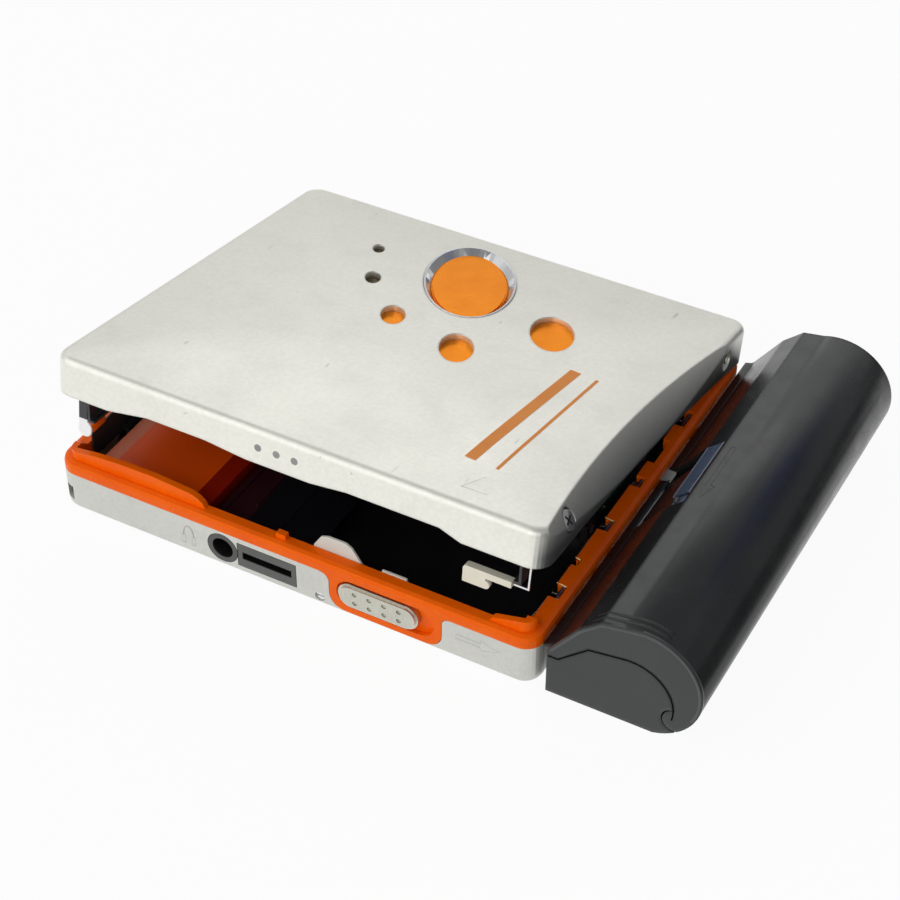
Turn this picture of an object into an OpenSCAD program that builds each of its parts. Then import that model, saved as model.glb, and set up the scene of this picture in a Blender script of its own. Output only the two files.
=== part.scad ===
// Portable minidisc player with a front-loading lid and a screw-on battery case.
// Origin: centre of the player's base face. X to the right, Y to the back, Z up. Millimetres.
// The lid and the disc holder are drawn shut, then turned up about the hinge to their rest positions.

/* [Player body] */
// Width of the player, left to right
player_w = 82; // [81:0.5:88]
// Depth of the player, front to back
player_d = 74; // [73:0.5:80]
// Thickness of the player with its lid shut
player_h = 16.9; // [16.8:0.1:18]
// Radius of the upright corners, seen from above
corner_r = 3; // [2.4:0.1:3.6]
// Height of the lower case
case_h = 7.3; // [7.2:0.1:7.6]
// Wall of the lower case
case_wall = 1; // [0.8:0.1:1.2]
// Floor of the lower case
floor_t = 1; // [0.8:0.1:1.1]
// Rounding along the bottom edge
bottom_round = 1.6; // [0.8:0.1:2]

/* [Middle frame] */
// Height of the frame's outer band above the lower case
band_h = 2.1; // [1.6:0.1:2.2]
// Width of the frame's rim along the front
rim_front_w = 2.25; // [2:0.05:2.4]
// Width of the frame's rim along the left side
rim_left_w = 2.3; // [2.1:0.05:2.4]
// Width of the frame's rim along the right side
rim_right_w = 2.8; // [2.5:0.05:2.9]
// How far the raised inner lip stands above the band
raised_lip_h = 2.5; // [1.6:0.1:2.7]
// Depth of the skirt that plugs into the lower case
skirt_h = 0.8; // [0.5:0.1:1]

/* [Lid] */
// Angle that the lid stands open at rest
lid_open_angle = 9.64; // [6:0.1:12]
// Wall of the lid's sides
lid_wall = 1; // [0.8:0.05:1.1]
// Thickness of the lid's top
lid_top_t = 1.1; // [0.9:0.05:1.2]
// Rounding along the lid's top edge
lid_edge_r = 1; // [0.6:0.1:1.4]
// Crown of the lid's top over its edge
lid_crown = 0.7; // [0.3:0.1:1]
// How far the side facet cuts into the lid's top
facet_inset = 3.2; // [2:0.1:3.4]
// Rise of the front lip over the slider and over the battery box
lip_wave = 1.2; // [0.4:0.1:1.5]
// Rise of the side lips at mid length
side_arch = 1.7; // [0.5:0.1:2]

/* [Windows] */
// Half length of the large window's ring
bezel_long = 12.3; // [11:0.1:13]
// Half width of the large window's ring
bezel_short = 7.5; // [7:0.1:8]
// Width of the ring's sloping face
bezel_slope = 1.5; // [0.8:0.1:1.8]
// Depth of the large window under the lid's top
lens_depth = 0.8; // [0.6:0.05:0.9]
// Angle of the windows' long axis from the depth direction
window_turn = 24; // [0:1:40]

/* [Disc holder] */
// Angle that the disc holder stands open at rest, so that a cartridge clears the lid's front lip
holder_open_angle = 5.3; // [4:0.1:5.4]
// Width of the cartridge
disc_w = 72; // [70:0.5:72.5]
// Thickness of the cartridge
disc_t = 5; // [4.6:0.1:5]
// Gauge of the holder's sheet
sheet_t = 0.4; // [0.3:0.05:0.5]
// Height of the hinge axis above the base
hinge_z = 7; // [6.6:0.1:7.2]
// Distance of the hinge axis from the back face
hinge_back = 4; // [3.9:0.1:4.4]
// Radius of the hinge pins
hinge_pin_r = 0.9; // [0.7:0.05:1]

/* [Front face] */
// Bore radius of the headphone jack
jack_bore_r = 1.8; // [1.7:0.05:1.9]
// Outer radius of the headphone jack's collar
jack_r = 2.6; // [2.5:0.05:2.7]
// Length of the headphone jack's body
jack_l = 13; // [11:0.5:14]
// Width of the remote connector's face
remote_w = 10.1; // [9.6:0.1:10.2]
// Height of the remote connector's face
remote_h = 4.3; // [4:0.1:4.5]
// Width of the opening slider's knob
knob_w = 13.3; // [11:0.1:13.5]
// Height of the opening slider's knob
knob_h = 4.4; // [4:0.1:4.4]
// Travel of the opening slider
slider_travel = 2.2; // [1.5:0.1:2.4]

/* [Side and back controls] */
// Length of a side button
button_l = 7; // [5:0.5:8]
// Height of a side button
button_h = 2.6; // [2:0.1:2.8]
// Distance between side buttons
button_pitch = 9.5; // [9.3:0.1:9.7]
// Travel of a side button
button_travel = 0.4; // [0.2:0.05:0.5]
// Length of the volume rocker
rocker_l = 12; // [10:0.5:12]
// Travel of the hold switch
hold_travel = 2; // [1:0.1:2.5]

/* [Mechanism] */
// Thickness of the mechanism deck
deck_t = 0.7; // [0.6:0.05:0.8]
// Radius of the guide rails
rail_r = 0.75; // [0.7:0.05:0.9]
// Distance between the guide rails
rail_gap = 19; // [18:0.5:20]
// Travel of the pickup from the innermost to the outermost track
sled_travel = 16; // [12:0.5:16]
// Advance of the pickup for one turn of the lead screw
screw_lead = 3; // [2:0.5:4]
// Radius of the turntable
turntable_r = 5.2; // [4.5:0.1:5.5]

/* [Gumstick battery] */
// Width of the flat cell
cell_w = 17; // [16.5:0.1:17.2]
// Length of the flat cell
cell_l = 67; // [65:0.5:67]

/* [Battery case] */
// Radius of the round cell's bay
bay_r = 7.5; // [7.35:0.05:7.55]
// Outer radius of the case around the bay
case_r = 9.2; // [9.15:0.05:9.4]
// Gap between the player and the battery case
case_gap = 1.3; // [1:0.1:1.6]
// Thickness of the battery case's shell
shell_t = 1.3; // [1.1:0.05:1.4]
// Length of the round cell
round_cell_l = 50.5; // [49:0.5:51]
// Travel of the battery cover before it swings
cover_travel = 3; // [2:0.1:3.2]

/* [Hidden] */
$fn = 48;

silver = [0.86, 0.86, 0.84];
orange = [0.96, 0.45, 0.06];
black = [0.07, 0.07, 0.08];
brown = [0.24, 0.11, 0.09];
rust = [0.55, 0.20, 0.05];
steel = [0.72, 0.72, 0.74];
brass = [0.80, 0.64, 0.30];
amber = [0.90, 0.52, 0.05];
green = [0.10, 0.28, 0.18];
cream = [0.92, 0.90, 0.80];
slate = [0.25, 0.30, 0.42];

// Shared clearances
fit = 0.1;
run_fit = 0.05;
slack = 0.25;
through = 1;

half_w = player_w / 2;
half_d = player_d / 2;
front_y = -half_d;
inner_w = player_w - 2 * case_wall;
inner_d = player_d - 2 * case_wall;

// Heights of the stack, from the base up
board_z = floor_t + 0.8;
board_t = 0.8;
board_top = board_z + board_t;
deck_z = board_top + 2;
deck_top = deck_z + deck_t;
band_z = case_h + band_h;
band_bevel = 0.8;
back_band_z = band_z - 0.5;
raised_z = band_z + raised_lip_h;
lip_z = band_z + 0.5;
ceiling_z = player_h - lid_top_t;
holder_top_z = ceiling_z - 0.2 - sheet_t;
holder_in_h = disc_t + 0.3;
holder_floor_z = holder_top_z - holder_in_h;
holder_half = disc_w / 2 + 0.3;
holder_out = holder_half + sheet_t;
arm_x = holder_out + slack;
arm_t = 0.4;

// From the front back: frame rim, latch plate, holder
latch_y = front_y + rim_front_w + fit;
latch_t = 0.35;
holder_front_y = latch_y + latch_t + slack;
hinge_y = half_d - hinge_back;
holder_back_y = hinge_y + 0.5;
rim_back_w = 1.8;
ear_r = hinge_pin_r + 0.9;
tab_y = holder_front_y;
tab_t = 0.4;

// Flat cell's box under the left of the disc
box_wall = 1;
box_ledge_w = 1.9;
box_top_t = 0.6;
box_in_w = cell_w + 0.5;
box_left_x = -holder_half + 0.3;
box_in_left_x = box_left_x + box_ledge_w;
box_in_right_x = box_in_left_x + box_in_w;
box_right_x = box_in_right_x + box_wall;
box_top_z = case_h + box_top_t;
box_back_y = half_d - case_wall - 1.2;
box_front_y = box_back_y - cell_l - 1.2;

// Front face features, from the left
strap_x = -half_w + 1.75;
strap_w = 1.6;
strap_z = 2;
strap_h = 2.6;
jack_body_half = 2.5;
jack_x = box_right_x + 4.5;
jack_z = case_h - 0.65 - jack_body_half;
remote_left_x = jack_x + jack_r + fit;
remote_x = remote_left_x + remote_w / 2;
remote_depth = 6;
remote_slot_w = remote_w - 1.6;
remote_slot_h = 1.35;
front_screw_x = remote_left_x + remote_w + 4;
front_screw_z = 1.95;
front_screw_r = 0.75;
front_shank_r = 0.45;
front_boss_r = 1.3;
front_boss_y = latch_y - 2 * fit;
knob_x = front_screw_x + 9.95;
knob_z = 4.75;
knob_proud = 0.5;
recess_gap = 0.35;
recess_w = knob_w + slider_travel + 2 * recess_gap;
recess_x = knob_x + slider_travel / 2;
recess_h = knob_h + 2 * recess_gap;
recess_depth = 0.9;
surround_w = recess_w + 2.4;
surround_z = knob_z - recess_h / 2 - 1.1;
surround_r = 2.6;
surround_t = 1.7;
surround_left_x = recess_x - surround_w / 2;
surround_right_x = recess_x + surround_w / 2;
stem_w = 5;
stem_h = 1.6;
guide_r = 0.5;
guide_places = [knob_x - 6.6, knob_x + 6.6];

// Side buttons, from the front
button_z = 4.3;
button_proud = 0.5;
flange_t = 0.6;
flange_rim = 0.6;
flange_x = -half_w + case_wall + fit;
first_button_y = -20;
rocker_y = first_button_y + 3 * button_pitch + button_l / 2 + 1.1 + rocker_l / 2;
rocker_pin_r = 0.4;
rocker_pin_x = flange_x + 1.05;
strip_t = 0.5;
strip_x = flange_x + 2;

// Hold switch in the back wall
hold_x = 8;
hold_z = 4.2;
hold_w = 5;
hold_h = 2.2;
hold_proud = 0.4;

// Mechanism
deck_left_x = box_right_x + 1.2;
deck_right_x = half_w - 4.6;
deck_front_y = front_y + 6;
deck_back_y = half_d - 6;
leg_r = 1.8;
leg_hole_r = 0.6;
leg_places = [[deck_left_x + 2.2, -18], [deck_right_x - 2.4, deck_front_y + 3.5],
    [deck_right_x - 2.4, deck_back_y - 3], [deck_left_x + 2.2, deck_back_y - 3]];
base_screw_r = 0.55;
base_screw_head_r = 1.5;
board_screw_places = [[-2, 25], [26, -20], [9, -27]];
motor_r = 6;
motor_flange_r = 7.5;
shaft_r = 0.75;
rail_z = deck_top + 1.6;
rail_block_t = 1.2;
rail_left_x = 8.4;
sled_in_x = rail_left_x + rail_block_t + 0.4;
sled_w = 9;
rail_right_x = sled_in_x + sled_w + sled_travel + 0.2 + rail_block_t;
sled_lens_x = sled_in_x + sled_w / 2;
bush_half = 1.5;
screw_y = rail_gap / 2 + 4.2;
screw_core_r = 0.6;
screw_throw = 0.12;
gear_m = 0.35;
gear_teeth = 14;
pinion_teeth = 8;
gear_t = 1.2;
gear_x = rail_left_x - gear_t - 0.6;
centre_distance = gear_m * (gear_teeth + pinion_teeth) / 2 + run_fit;
motor_y = screw_y + centre_distance;
sled_motor_r = 2.3;
sled_motor_l = 12;
sled_motor_x = gear_x - 0.4;

// Windows: centre x, centre y, half length, half width
windows = [[-19.1, 21.8, 1.6, 1], [-14.6, 12.1, 2.1, 1.3], [-5.8, 3.1, 3.1, 1.95],
    [7.2, -0.2, 4.5, 2.7], [17.2, 12.8, 5.6, 3.5]];
bezel_x = -1.3;
bezel_y = 20.4;
panel_t = 0.6;
panel_left_x = -23;
panel_right_x = 24;
panel_front_y = -6;
panel_back_y = bezel_y + sqrt(pow(bezel_long * cos(window_turn), 2)
    + pow(bezel_short * sin(window_turn), 2));
holder_window_margin = 1;

// Battery case
case_left_x = half_w + case_gap;
case_x = case_left_x + 14.2;
case_z = case_r - 0.3;
cell_x = case_x - 0.9;
case_front_y = front_y + 1;
case_back_y = case_front_y + player_d;
end_t = 1.2;
seam_gap = 0.15;
seam_z = 6.9;
seam_r = 6.7;
seam_x = case_x - 1.6;
seam_centre_z = 5.2;
pin_angle = -39;
cover_pin_r = 0.6;
knuckle_r = 1.15;
relief_r = knuckle_r + 0.95;
cover_pin_x = case_x + case_r * cos(pin_angle) - knuckle_r - 0.5;
cover_pin_z = case_z + case_r * sin(pin_angle) + 0.6;
seam_low_z = cover_pin_z - 0.8;
lug_l = 6;
lug_places = [-28, 1, 26];
bulkhead_front_y = case_front_y + 9;
bulkhead_back_y = bulkhead_front_y + round_cell_l + 3;
case_screw_y = bulkhead_back_y - 4.5;
case_screw_z = 3.4;
case_screw_r = 1.2;
case_screw_head_r = 3.1;
peg_r = 0.9;
peg_places = [-26, 8];
terminal_y = -12;
terminal_z = 3.6;
terminal_pitch = 5;
latch_front_y = -7;
latch_back_y = 4.5;
latch_right_x = case_left_x + 7;

// Shared shapes

module round_rect(w, d, r) {
    square([w - 2 * r, d], center = true);
    square([w, d - 2 * r], center = true);
    for (x = [-1, 1], y = [-1, 1])
        translate([x * (w / 2 - r), y * (d / 2 - r)]) circle(r);
}

module slab(w, d, r, z0, z1) {
    translate([0, 0, z0]) linear_extrude(z1 - z0) round_rect(w, d, r);
}

// A block from corner to corner
module block(x0, x1, y0, y1, z0, z1) {
    translate([x0, y0, z0]) cube([x1 - x0, y1 - y0, z1 - z0]);
}

// Cylinders along X and Y from one end to the other
module rod_x(r, x0, x1, y, z) {
    translate([x0, y, z]) rotate([0, 90, 0]) cylinder(r = r, h = x1 - x0);
}

module rod_y(r, y0, y1, x, z) {
    translate([x, y0, z]) rotate([-90, 0, 0]) cylinder(r = r, h = y1 - y0);
}

module rod_z(r, z0, z1, x, y) {
    translate([x, y, z0]) cylinder(r = r, h = z1 - z0);
}

// A pill outline in the XZ plane, extruded along Y
module pill_y(w, h, y0, y1, x, z) {
    block(x - w / 2 + h / 2, x + w / 2 - h / 2, y0, y1, z - h / 2, z + h / 2);
    for (s = [-1, 1]) rod_y(h / 2, y0, y1, x + s * (w - h) / 2, z);
}

// A pill outline in the YZ plane, extruded along X
module pill_x(l, h, x0, x1, y, z) {
    block(x0, x1, y - l / 2 + h / 2, y + l / 2 - h / 2, z - h / 2, z + h / 2);
    for (s = [-1, 1]) rod_x(h / 2, x0, x1, y + s * (l - h) / 2, z);
}

// The same, standing on end
module upright_pill(w, h, y0, y1, x, z) {
    block(x - w / 2, x + w / 2, y0, y1, z - h / 2 + w / 2, z + h / 2 - w / 2);
    for (s = [-1, 1]) rod_y(w / 2, y0, y1, x, z + s * (h - w) / 2);
}

// An outline drawn in X and Z, extruded along Y
module along_y(y0, y1) {
    translate([0, y1, 0]) rotate([90, 0, 0]) linear_extrude(y1 - y0) children();
}

// An outline drawn in Y and Z, extruded along X
module along_x(x0, x1) {
    translate([x0, 0, 0]) rotate([90, 0, 90]) linear_extrude(x1 - x0) children();
}

// Turns what is drawn shut up to its open rest position
module opened(angle = lid_open_angle) {
    translate([0, hinge_y, hinge_z]) rotate([-angle, 0, 0])
        translate([0, -hinge_y, -hinge_z]) children();
}

module both_sides() {
    children();
    mirror([1, 0, 0]) children();
}

// Lower case

module tray_outline() {
    steps = 4;
    hull() {
        slab(player_w, player_d, corner_r, bottom_round, case_h, $fn = 32);
        for (i = [1 : steps]) {
            turn = 90 * i / steps;
            inset = bottom_round * (1 - cos(turn));
            z = bottom_round * (1 - sin(turn));
            slab(player_w - 2 * inset, player_d - 2 * inset, max(corner_r - inset, 0.6), z,
                bottom_round, $fn = 32);
        }
    }
}

// The opening in the front wall that the frame's slider surround fills
module surround_outline(gap) {
    w = surround_w / 2 + gap;
    r = surround_r + gap;
    translate([recess_x - w, surround_z - gap + r]) square([2 * w, case_h - surround_z - r + gap]);
    translate([recess_x - w + r, surround_z - gap]) square([2 * w - 2 * r, case_h - surround_z + gap]);
    for (s = [-1, 1]) translate([recess_x + s * (w - r), surround_z - gap + r]) circle(r);
    // It flares into the band above, more on the left than on the right
    for (f = [[-1, 1.6], [1, 1.2]]) difference() {
        x = recess_x + f[0] * (surround_w / 2 + f[1] / 2);
        translate([x - f[1] / 2, case_h - f[1]]) square(f[1]);
        translate([recess_x + f[0] * (surround_w / 2 + f[1]), case_h - f[1]]) circle(f[1] - gap);
    }
}

module button_hole(y, l) {
    pill_x(l + 2 * fit, button_h + 2 * fit, -half_w - through, -half_w + case_wall + through, y,
        button_z);
}

module lower_case() {
    color(silver) difference() {
        union() {
            difference() {
                tray_outline();
                slab(inner_w, inner_d, corner_r - case_wall, floor_t, case_h + through);
            }
            for (p = board_screw_places) rod_z(1.5, floor_t, board_z, p[0], p[1]);
            rod_y(front_boss_r, front_y + case_wall - fit, front_boss_y, front_screw_x,
                front_screw_z + 0.3);
        }
        // Front wall
        along_y(front_y - through, front_y + case_wall + fit) surround_outline(fit);
        rod_y(jack_r + fit, front_y - through, front_y + case_wall + fit, jack_x, jack_z);
        block(remote_left_x - fit, remote_left_x + remote_w + fit, front_y - through,
            front_y + case_wall + fit, jack_z - remote_h / 2 - fit, jack_z + remote_h / 2 + fit);
        rod_y(front_screw_r + fit, front_y - through, front_y + 1.25, front_screw_x, front_screw_z);
        rod_y(front_shank_r + 0.01, front_y, front_boss_y + through, front_screw_x, front_screw_z);
        // Strap eye through the front left corner
        block(strap_x - strap_w / 2, strap_x + strap_w / 2, front_y - through, front_y + 3, strap_z,
            strap_z + strap_h);
        block(-half_w - through, -half_w + 1.2, front_y + 2.2, front_y + 3.8, strap_z,
            strap_z + strap_h);
        // Left wall
        for (i = [0 : 3]) button_hole(first_button_y + i * button_pitch, button_l);
        button_hole(rocker_y, rocker_l + 2 * fit);
        // Back wall
        block(box_left_x - 0.4, box_right_x - 0.8, half_d - case_wall - fit, half_d + through, floor_t,
            case_h + through);
        pill_y(hold_w + hold_travel + 2 * fit, hold_h + 2 * fit, half_d - case_wall - fit,
            half_d + through, hold_x + hold_travel / 2, hold_z);
        // Right wall
        for (s = [-1, 1])
            block(half_w - case_wall - fit, half_w + through, terminal_y + s * terminal_pitch / 2 - 1.6,
                terminal_y + s * terminal_pitch / 2 + 1.6, terminal_z - 1.1, terminal_z + 1.1);
        for (y = peg_places) rod_x(peg_r + run_fit, half_w - case_wall - fit, half_w + through, y,
            terminal_z);
        rod_x(case_screw_r + fit, half_w - case_wall - fit, half_w + through, case_screw_y,
            case_screw_z);
        // Floor
        for (p = leg_places) {
            rod_z(base_screw_r + fit, -through, floor_t + fit, p[0], p[1]);
            rod_z(base_screw_head_r + fit, -through, floor_t / 2, p[0], p[1]);
        }
        for (p = board_screw_places) rod_z(leg_hole_r, floor_t / 2, board_z + fit, p[0], p[1]);
    }
}

// Middle frame

notches = [[-26, 3, 1.6], [-19.3, 1.6, 0.9], [-10, 2.8, 1.6], [1, 2.4, 1.6], [9, 6, 1.1], [18, 4, 1.6]];
boss_r = 1.2;

module frame_opening(z0, z1) {
    d = player_d - rim_front_w - rim_back_w;
    translate([(rim_left_w - rim_right_w) / 2, (rim_front_w - rim_back_w) / 2, 0])
        slab(player_w - rim_left_w - rim_right_w, d, 1, z0, z1);
}

module raised_lip() {
    x0 = -half_w + lid_wall + slack;
    y0 = front_y + lid_wall + slack;
    low = band_z - fit;
    corner_z = band_z + 0.5 * raised_lip_h;
    right_z = band_z + 0.7 * raised_lip_h;
    // Over the battery box the lip swells, then rounds down into the band
    along_y(y0, front_y + rim_front_w) polygon([[x0, low], [x0, corner_z], [x0 + 5.8, raised_z - 0.4],
        [x0 + 10, raised_z - 0.1], [x0 + 15.8, raised_z], [box_right_x - 1.6, raised_z - 0.5],
        [box_right_x - 0.4, raised_z - 0.9], [box_right_x + 0.5, raised_z - 1.6],
        [box_right_x + 1, low]]);
    along_x(x0, -half_w + rim_left_w) polygon([[y0, low], [y0, corner_z], [front_y + 3.6, corner_z],
        [front_y + 5.2, low]]);
    along_y(y0, front_y + rim_front_w) polygon([[half_w - 8, low], [half_w - 7.4, band_z + 0.6],
        [half_w - 3, right_z], [half_w, right_z], [half_w, low]]);
    along_x(half_w - rim_right_w, half_w - lid_wall - slack) polygon([[y0, low], [y0, right_z],
        [front_y + 3, right_z], [front_y + 4.4, low]]);
    // Stop bump under the lid's three dots
    block(-2.2, -0.6, y0, front_y + rim_front_w, band_z - fit, band_z + 0.8);
}

module mid_frame() {
    color(orange) difference() {
        union() {
            difference() {
                hull() {
                    slab(player_w, player_d, corner_r, case_h, band_z - band_bevel, $fn = 32);
                    slab(player_w - 0.5 * band_bevel, player_d - 0.5 * band_bevel,
                        corner_r - 0.25 * band_bevel, case_h, band_z - 0.3 * band_bevel, $fn = 32);
                    slab(player_w - 2 * band_bevel, player_d - 2 * band_bevel, corner_r - band_bevel,
                        case_h, band_z, $fn = 32);
                }
                frame_opening(case_h - through, band_z + through);
            }
            intersection() {
                raised_lip();
                slab(player_w - 2 * (lid_wall + slack), player_d - 2 * (lid_wall + slack),
                    corner_r - lid_wall, case_h, raised_z + through);
            }
            difference() {
                slab(inner_w - 2 * fit, inner_d - 2 * fit, corner_r - case_wall - fit,
                    case_h - skirt_h, case_h + fit);
                slab(inner_w - 2 * fit - 1.6, inner_d - 2 * fit - 1.6, 1, case_h - skirt_h - through,
                    case_h + through);
                block(-half_w, half_w, -half_d, front_y + 3, 0, case_h);
                block(box_left_x - 0.6, box_right_x, half_d - 3, half_d, 0, case_h);
            }
            along_y(front_y, front_y + surround_t) surround_outline(0);
            block(recess_x - surround_w / 2, recess_x + surround_w / 2, front_y, front_y + surround_t,
                case_h - fit, case_h + fit);
            for (x = guide_places) rod_y(boss_r, front_y + surround_t - fit, latch_y - run_fit, x, knob_z);
        }
        // The knob's recess and the slot for its stem
        pill_y(recess_w, recess_h, front_y - through, front_y + recess_depth, recess_x, knob_z);
        block(knob_x - stem_w / 2 - fit, knob_x + stem_w / 2 + slider_travel + fit, front_y,
            front_y + surround_t + through, knob_z - stem_h / 2 - fit, knob_z + stem_h / 2 + fit);
        for (x = guide_places)
            rod_y(guide_r, front_y + recess_depth + 0.3, latch_y, x, knob_z);
        // Notches along the right rim
        for (n = notches)
            block(half_w - rim_right_w - through, half_w - rim_right_w + n[2], n[0] - n[1] / 2,
                n[0] + n[1] / 2, case_h - skirt_h - through, band_z + through);
        // The lid's back edge dips here as it opens
        block(-half_w - through, half_w + through, hinge_y + 1, half_d + through, back_band_z,
            raised_z + through);
    }
}

module rim_springs() {
    color(steel) for (i = [0, 2, 3, 5]) {
        n = notches[i];
        x = half_w - rim_right_w + n[2] - 0.75;
        block(x, x + 0.3, n[0] - n[1] / 2, n[0] + n[1] / 2, case_h + 0.3, band_z - 0.2);
        block(x - 0.9, x, n[0] - 0.25, n[0] + 0.25, band_z - 0.7, band_z - 0.4);
    }
}

module strap_post() {
    color(steel) rod_z(0.55, floor_t, case_h, strap_x + 0.4, front_y + case_wall + 1);
}

module front_screw() {
    color(steel) difference() {
        union() {
            rod_y(front_screw_r, front_y + 0.3, front_y + 1.2, front_screw_x, front_screw_z);
            rod_y(front_shank_r, front_y + 1.2, front_boss_y, front_screw_x, front_screw_z);
        }
        block(front_screw_x - 1, front_screw_x + 1, front_y, front_y + 0.55, front_screw_z - 0.12,
            front_screw_z + 0.12);
    }
}

// A screw standing up from the floor, head down
module base_screws() {
    color(steel) for (p = leg_places) difference() {
        union() {
            rod_z(base_screw_head_r, 0.08, floor_t / 2 - 0.02, p[0], p[1]);
            rod_z(base_screw_r, floor_t / 4, deck_z - 1.4, p[0], p[1]);
        }
        block(p[0] - 0.9, p[0] + 0.9, p[1] - 0.15, p[1] + 0.15, 0, 0.25);
        block(p[0] - 0.15, p[0] + 0.15, p[1] - 0.9, p[1] + 0.9, 0, 0.25);
    }
}

module board_screws() {
    color(steel) for (p = board_screw_places) difference() {
        union() {
            rod_z(1.2, board_top, board_top + 0.5, p[0], p[1]);
            rod_z(leg_hole_r - run_fit, floor_t, board_top + 0.2, p[0], p[1]);
        }
        block(p[0] - 0.7, p[0] + 0.7, p[1] - 0.12, p[1] + 0.12, board_top + 0.3, board_top + 1);
    }
}

// Main board and what stands on it

board_front_y = front_y + jack_l + 1.5;
board_nose_left = remote_left_x + remote_w + 2.5;
board_nose_right = knob_x + 10.35;

module main_board() {
    color(green) difference() {
        translate([0, 0, board_z]) linear_extrude(board_t) polygon([
            [deck_left_x, board_front_y], [board_nose_left, board_front_y],
            [board_nose_left, front_y + 4], [board_nose_right, front_y + 4],
            [board_nose_right, board_front_y], [deck_right_x, board_front_y],
            [deck_right_x, half_d - 5], [deck_left_x, half_d - 5]]);
        for (p = leg_places) rod_z(leg_r + fit, 0, deck_z, p[0], p[1]);
        for (p = board_screw_places) rod_z(leg_hole_r, 0, deck_z, p[0], p[1]);
    }
}

// Width, depth and height of the chips
square_chip = [8, 8, 1];
long_chip = [9, 7, 1.2];
small_chip = [8, 6, 1];

// A chip with a row of leads along its front and its back
module chip(x, y, size) {
    translate([x - size[0] / 2, y - size[1] / 2, board_top]) cube(size);
    for (s = [-1, 1])
        translate([x - size[0] / 2 + 0.5, y + s * (size[1] / 2 + 0.3) - 0.35, board_top])
            cube([size[0] - 1, 0.7, 0.3]);
}

module board_components() {
    color(black) {
        chip(deck_left_x + 8.6, -14, square_chip);
        chip(17, -15, long_chip);
        chip(20, 25, small_chip);
        block(knob_x - 4, knob_x + 4, front_y + 5, front_y + 8, board_top, board_top + 1.8);
        for (y = [9, 13]) rod_z(1.6, board_top, board_top + 1.8, deck_left_x + 3.4, y);
        for (i = [0 : 3]) block(-8 + 2.2 * i, -6.8 + 2.2 * i, 20, 20.7, board_top, board_top + 0.5);
    }
}

module headphone_jack() {
    color(black) difference() {
        union() {
            rod_y(jack_r, front_y, front_y + case_wall + 0.6, jack_x, jack_z);
            block(jack_x - jack_body_half, jack_x + jack_body_half, front_y + case_wall + 0.2,
                front_y + jack_l, floor_t, jack_z + jack_body_half);
        }
        rod_y(jack_bore_r, front_y - through, front_y + jack_l - 1, jack_x, jack_z);
    }
}

module remote_connector() {
    color([0.35, 0.35, 0.36]) difference() {
        union() {
            block(remote_left_x, remote_left_x + remote_w, front_y, front_y + case_wall + 0.6,
                jack_z - remote_h / 2, jack_z + remote_h / 2);
            block(remote_left_x + 0.6, remote_left_x + remote_w - 0.2, front_y + case_wall + 0.3,
                front_y + remote_depth, floor_t, jack_z + remote_h / 2);
        }
        difference() {
            block(remote_x - remote_slot_w / 2, remote_x + remote_slot_w / 2, front_y - through,
                front_y + remote_depth - 1, jack_z - remote_slot_h / 2, jack_z + remote_slot_h / 2);
            block(remote_x - remote_slot_w / 2 + 0.6, remote_x + remote_slot_w / 2 - 0.6, front_y + 1,
                front_y + remote_depth, jack_z - 0.2, jack_z + 0.2);
        }
    }
}

// The brown sheet over the jack and the connector
shield_z = case_h - 0.35;
shield_t = 0.25;
shield_right_x = surround_left_x - 4.4;

module front_shield() {
    y0 = latch_y + 0.2;
    y1 = front_y + jack_l + 3;
    color(brown) {
        block(deck_left_x, shield_right_x, y0, y1, shield_z, shield_z + shield_t);
        block(deck_left_x, shield_right_x, y1 - shield_t, y1, deck_top, shield_z + fit);
        block(deck_left_x + 0.8, deck_left_x + 1.1, y0 + 1.5, y1 - 1, shield_z + fit,
            shield_z + shield_t + 0.25);
        block(deck_left_x + 0.8, shield_right_x - 1, y0 + 1.5, y0 + 1.8, shield_z + fit,
            shield_z + shield_t + 0.25);
        block(deck_left_x + 4.6, deck_left_x + 4.9, y0 + 5, y1 - 1, shield_z + fit,
            shield_z + shield_t + 0.25);
    }
}

module flex_cable() {
    x0 = deck_left_x + 5.6;
    y1 = front_y + jack_l + 3;
    z1 = shield_z + shield_t;
    t = 0.12;
    color(rust) along_x(x0, x0 + 5) polygon([
        [latch_y + 2.6, z1], [y1 + fit, z1], [y1 + fit, deck_top], [y1 + 5, deck_top],
        [y1 + 5, deck_top + t], [y1 + fit + t, deck_top + t], [y1 + fit + t, z1 + t],
        [latch_y + 2.6, z1 + t]]);
}

// Mechanism deck, on four legs that the base screws hold

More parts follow.
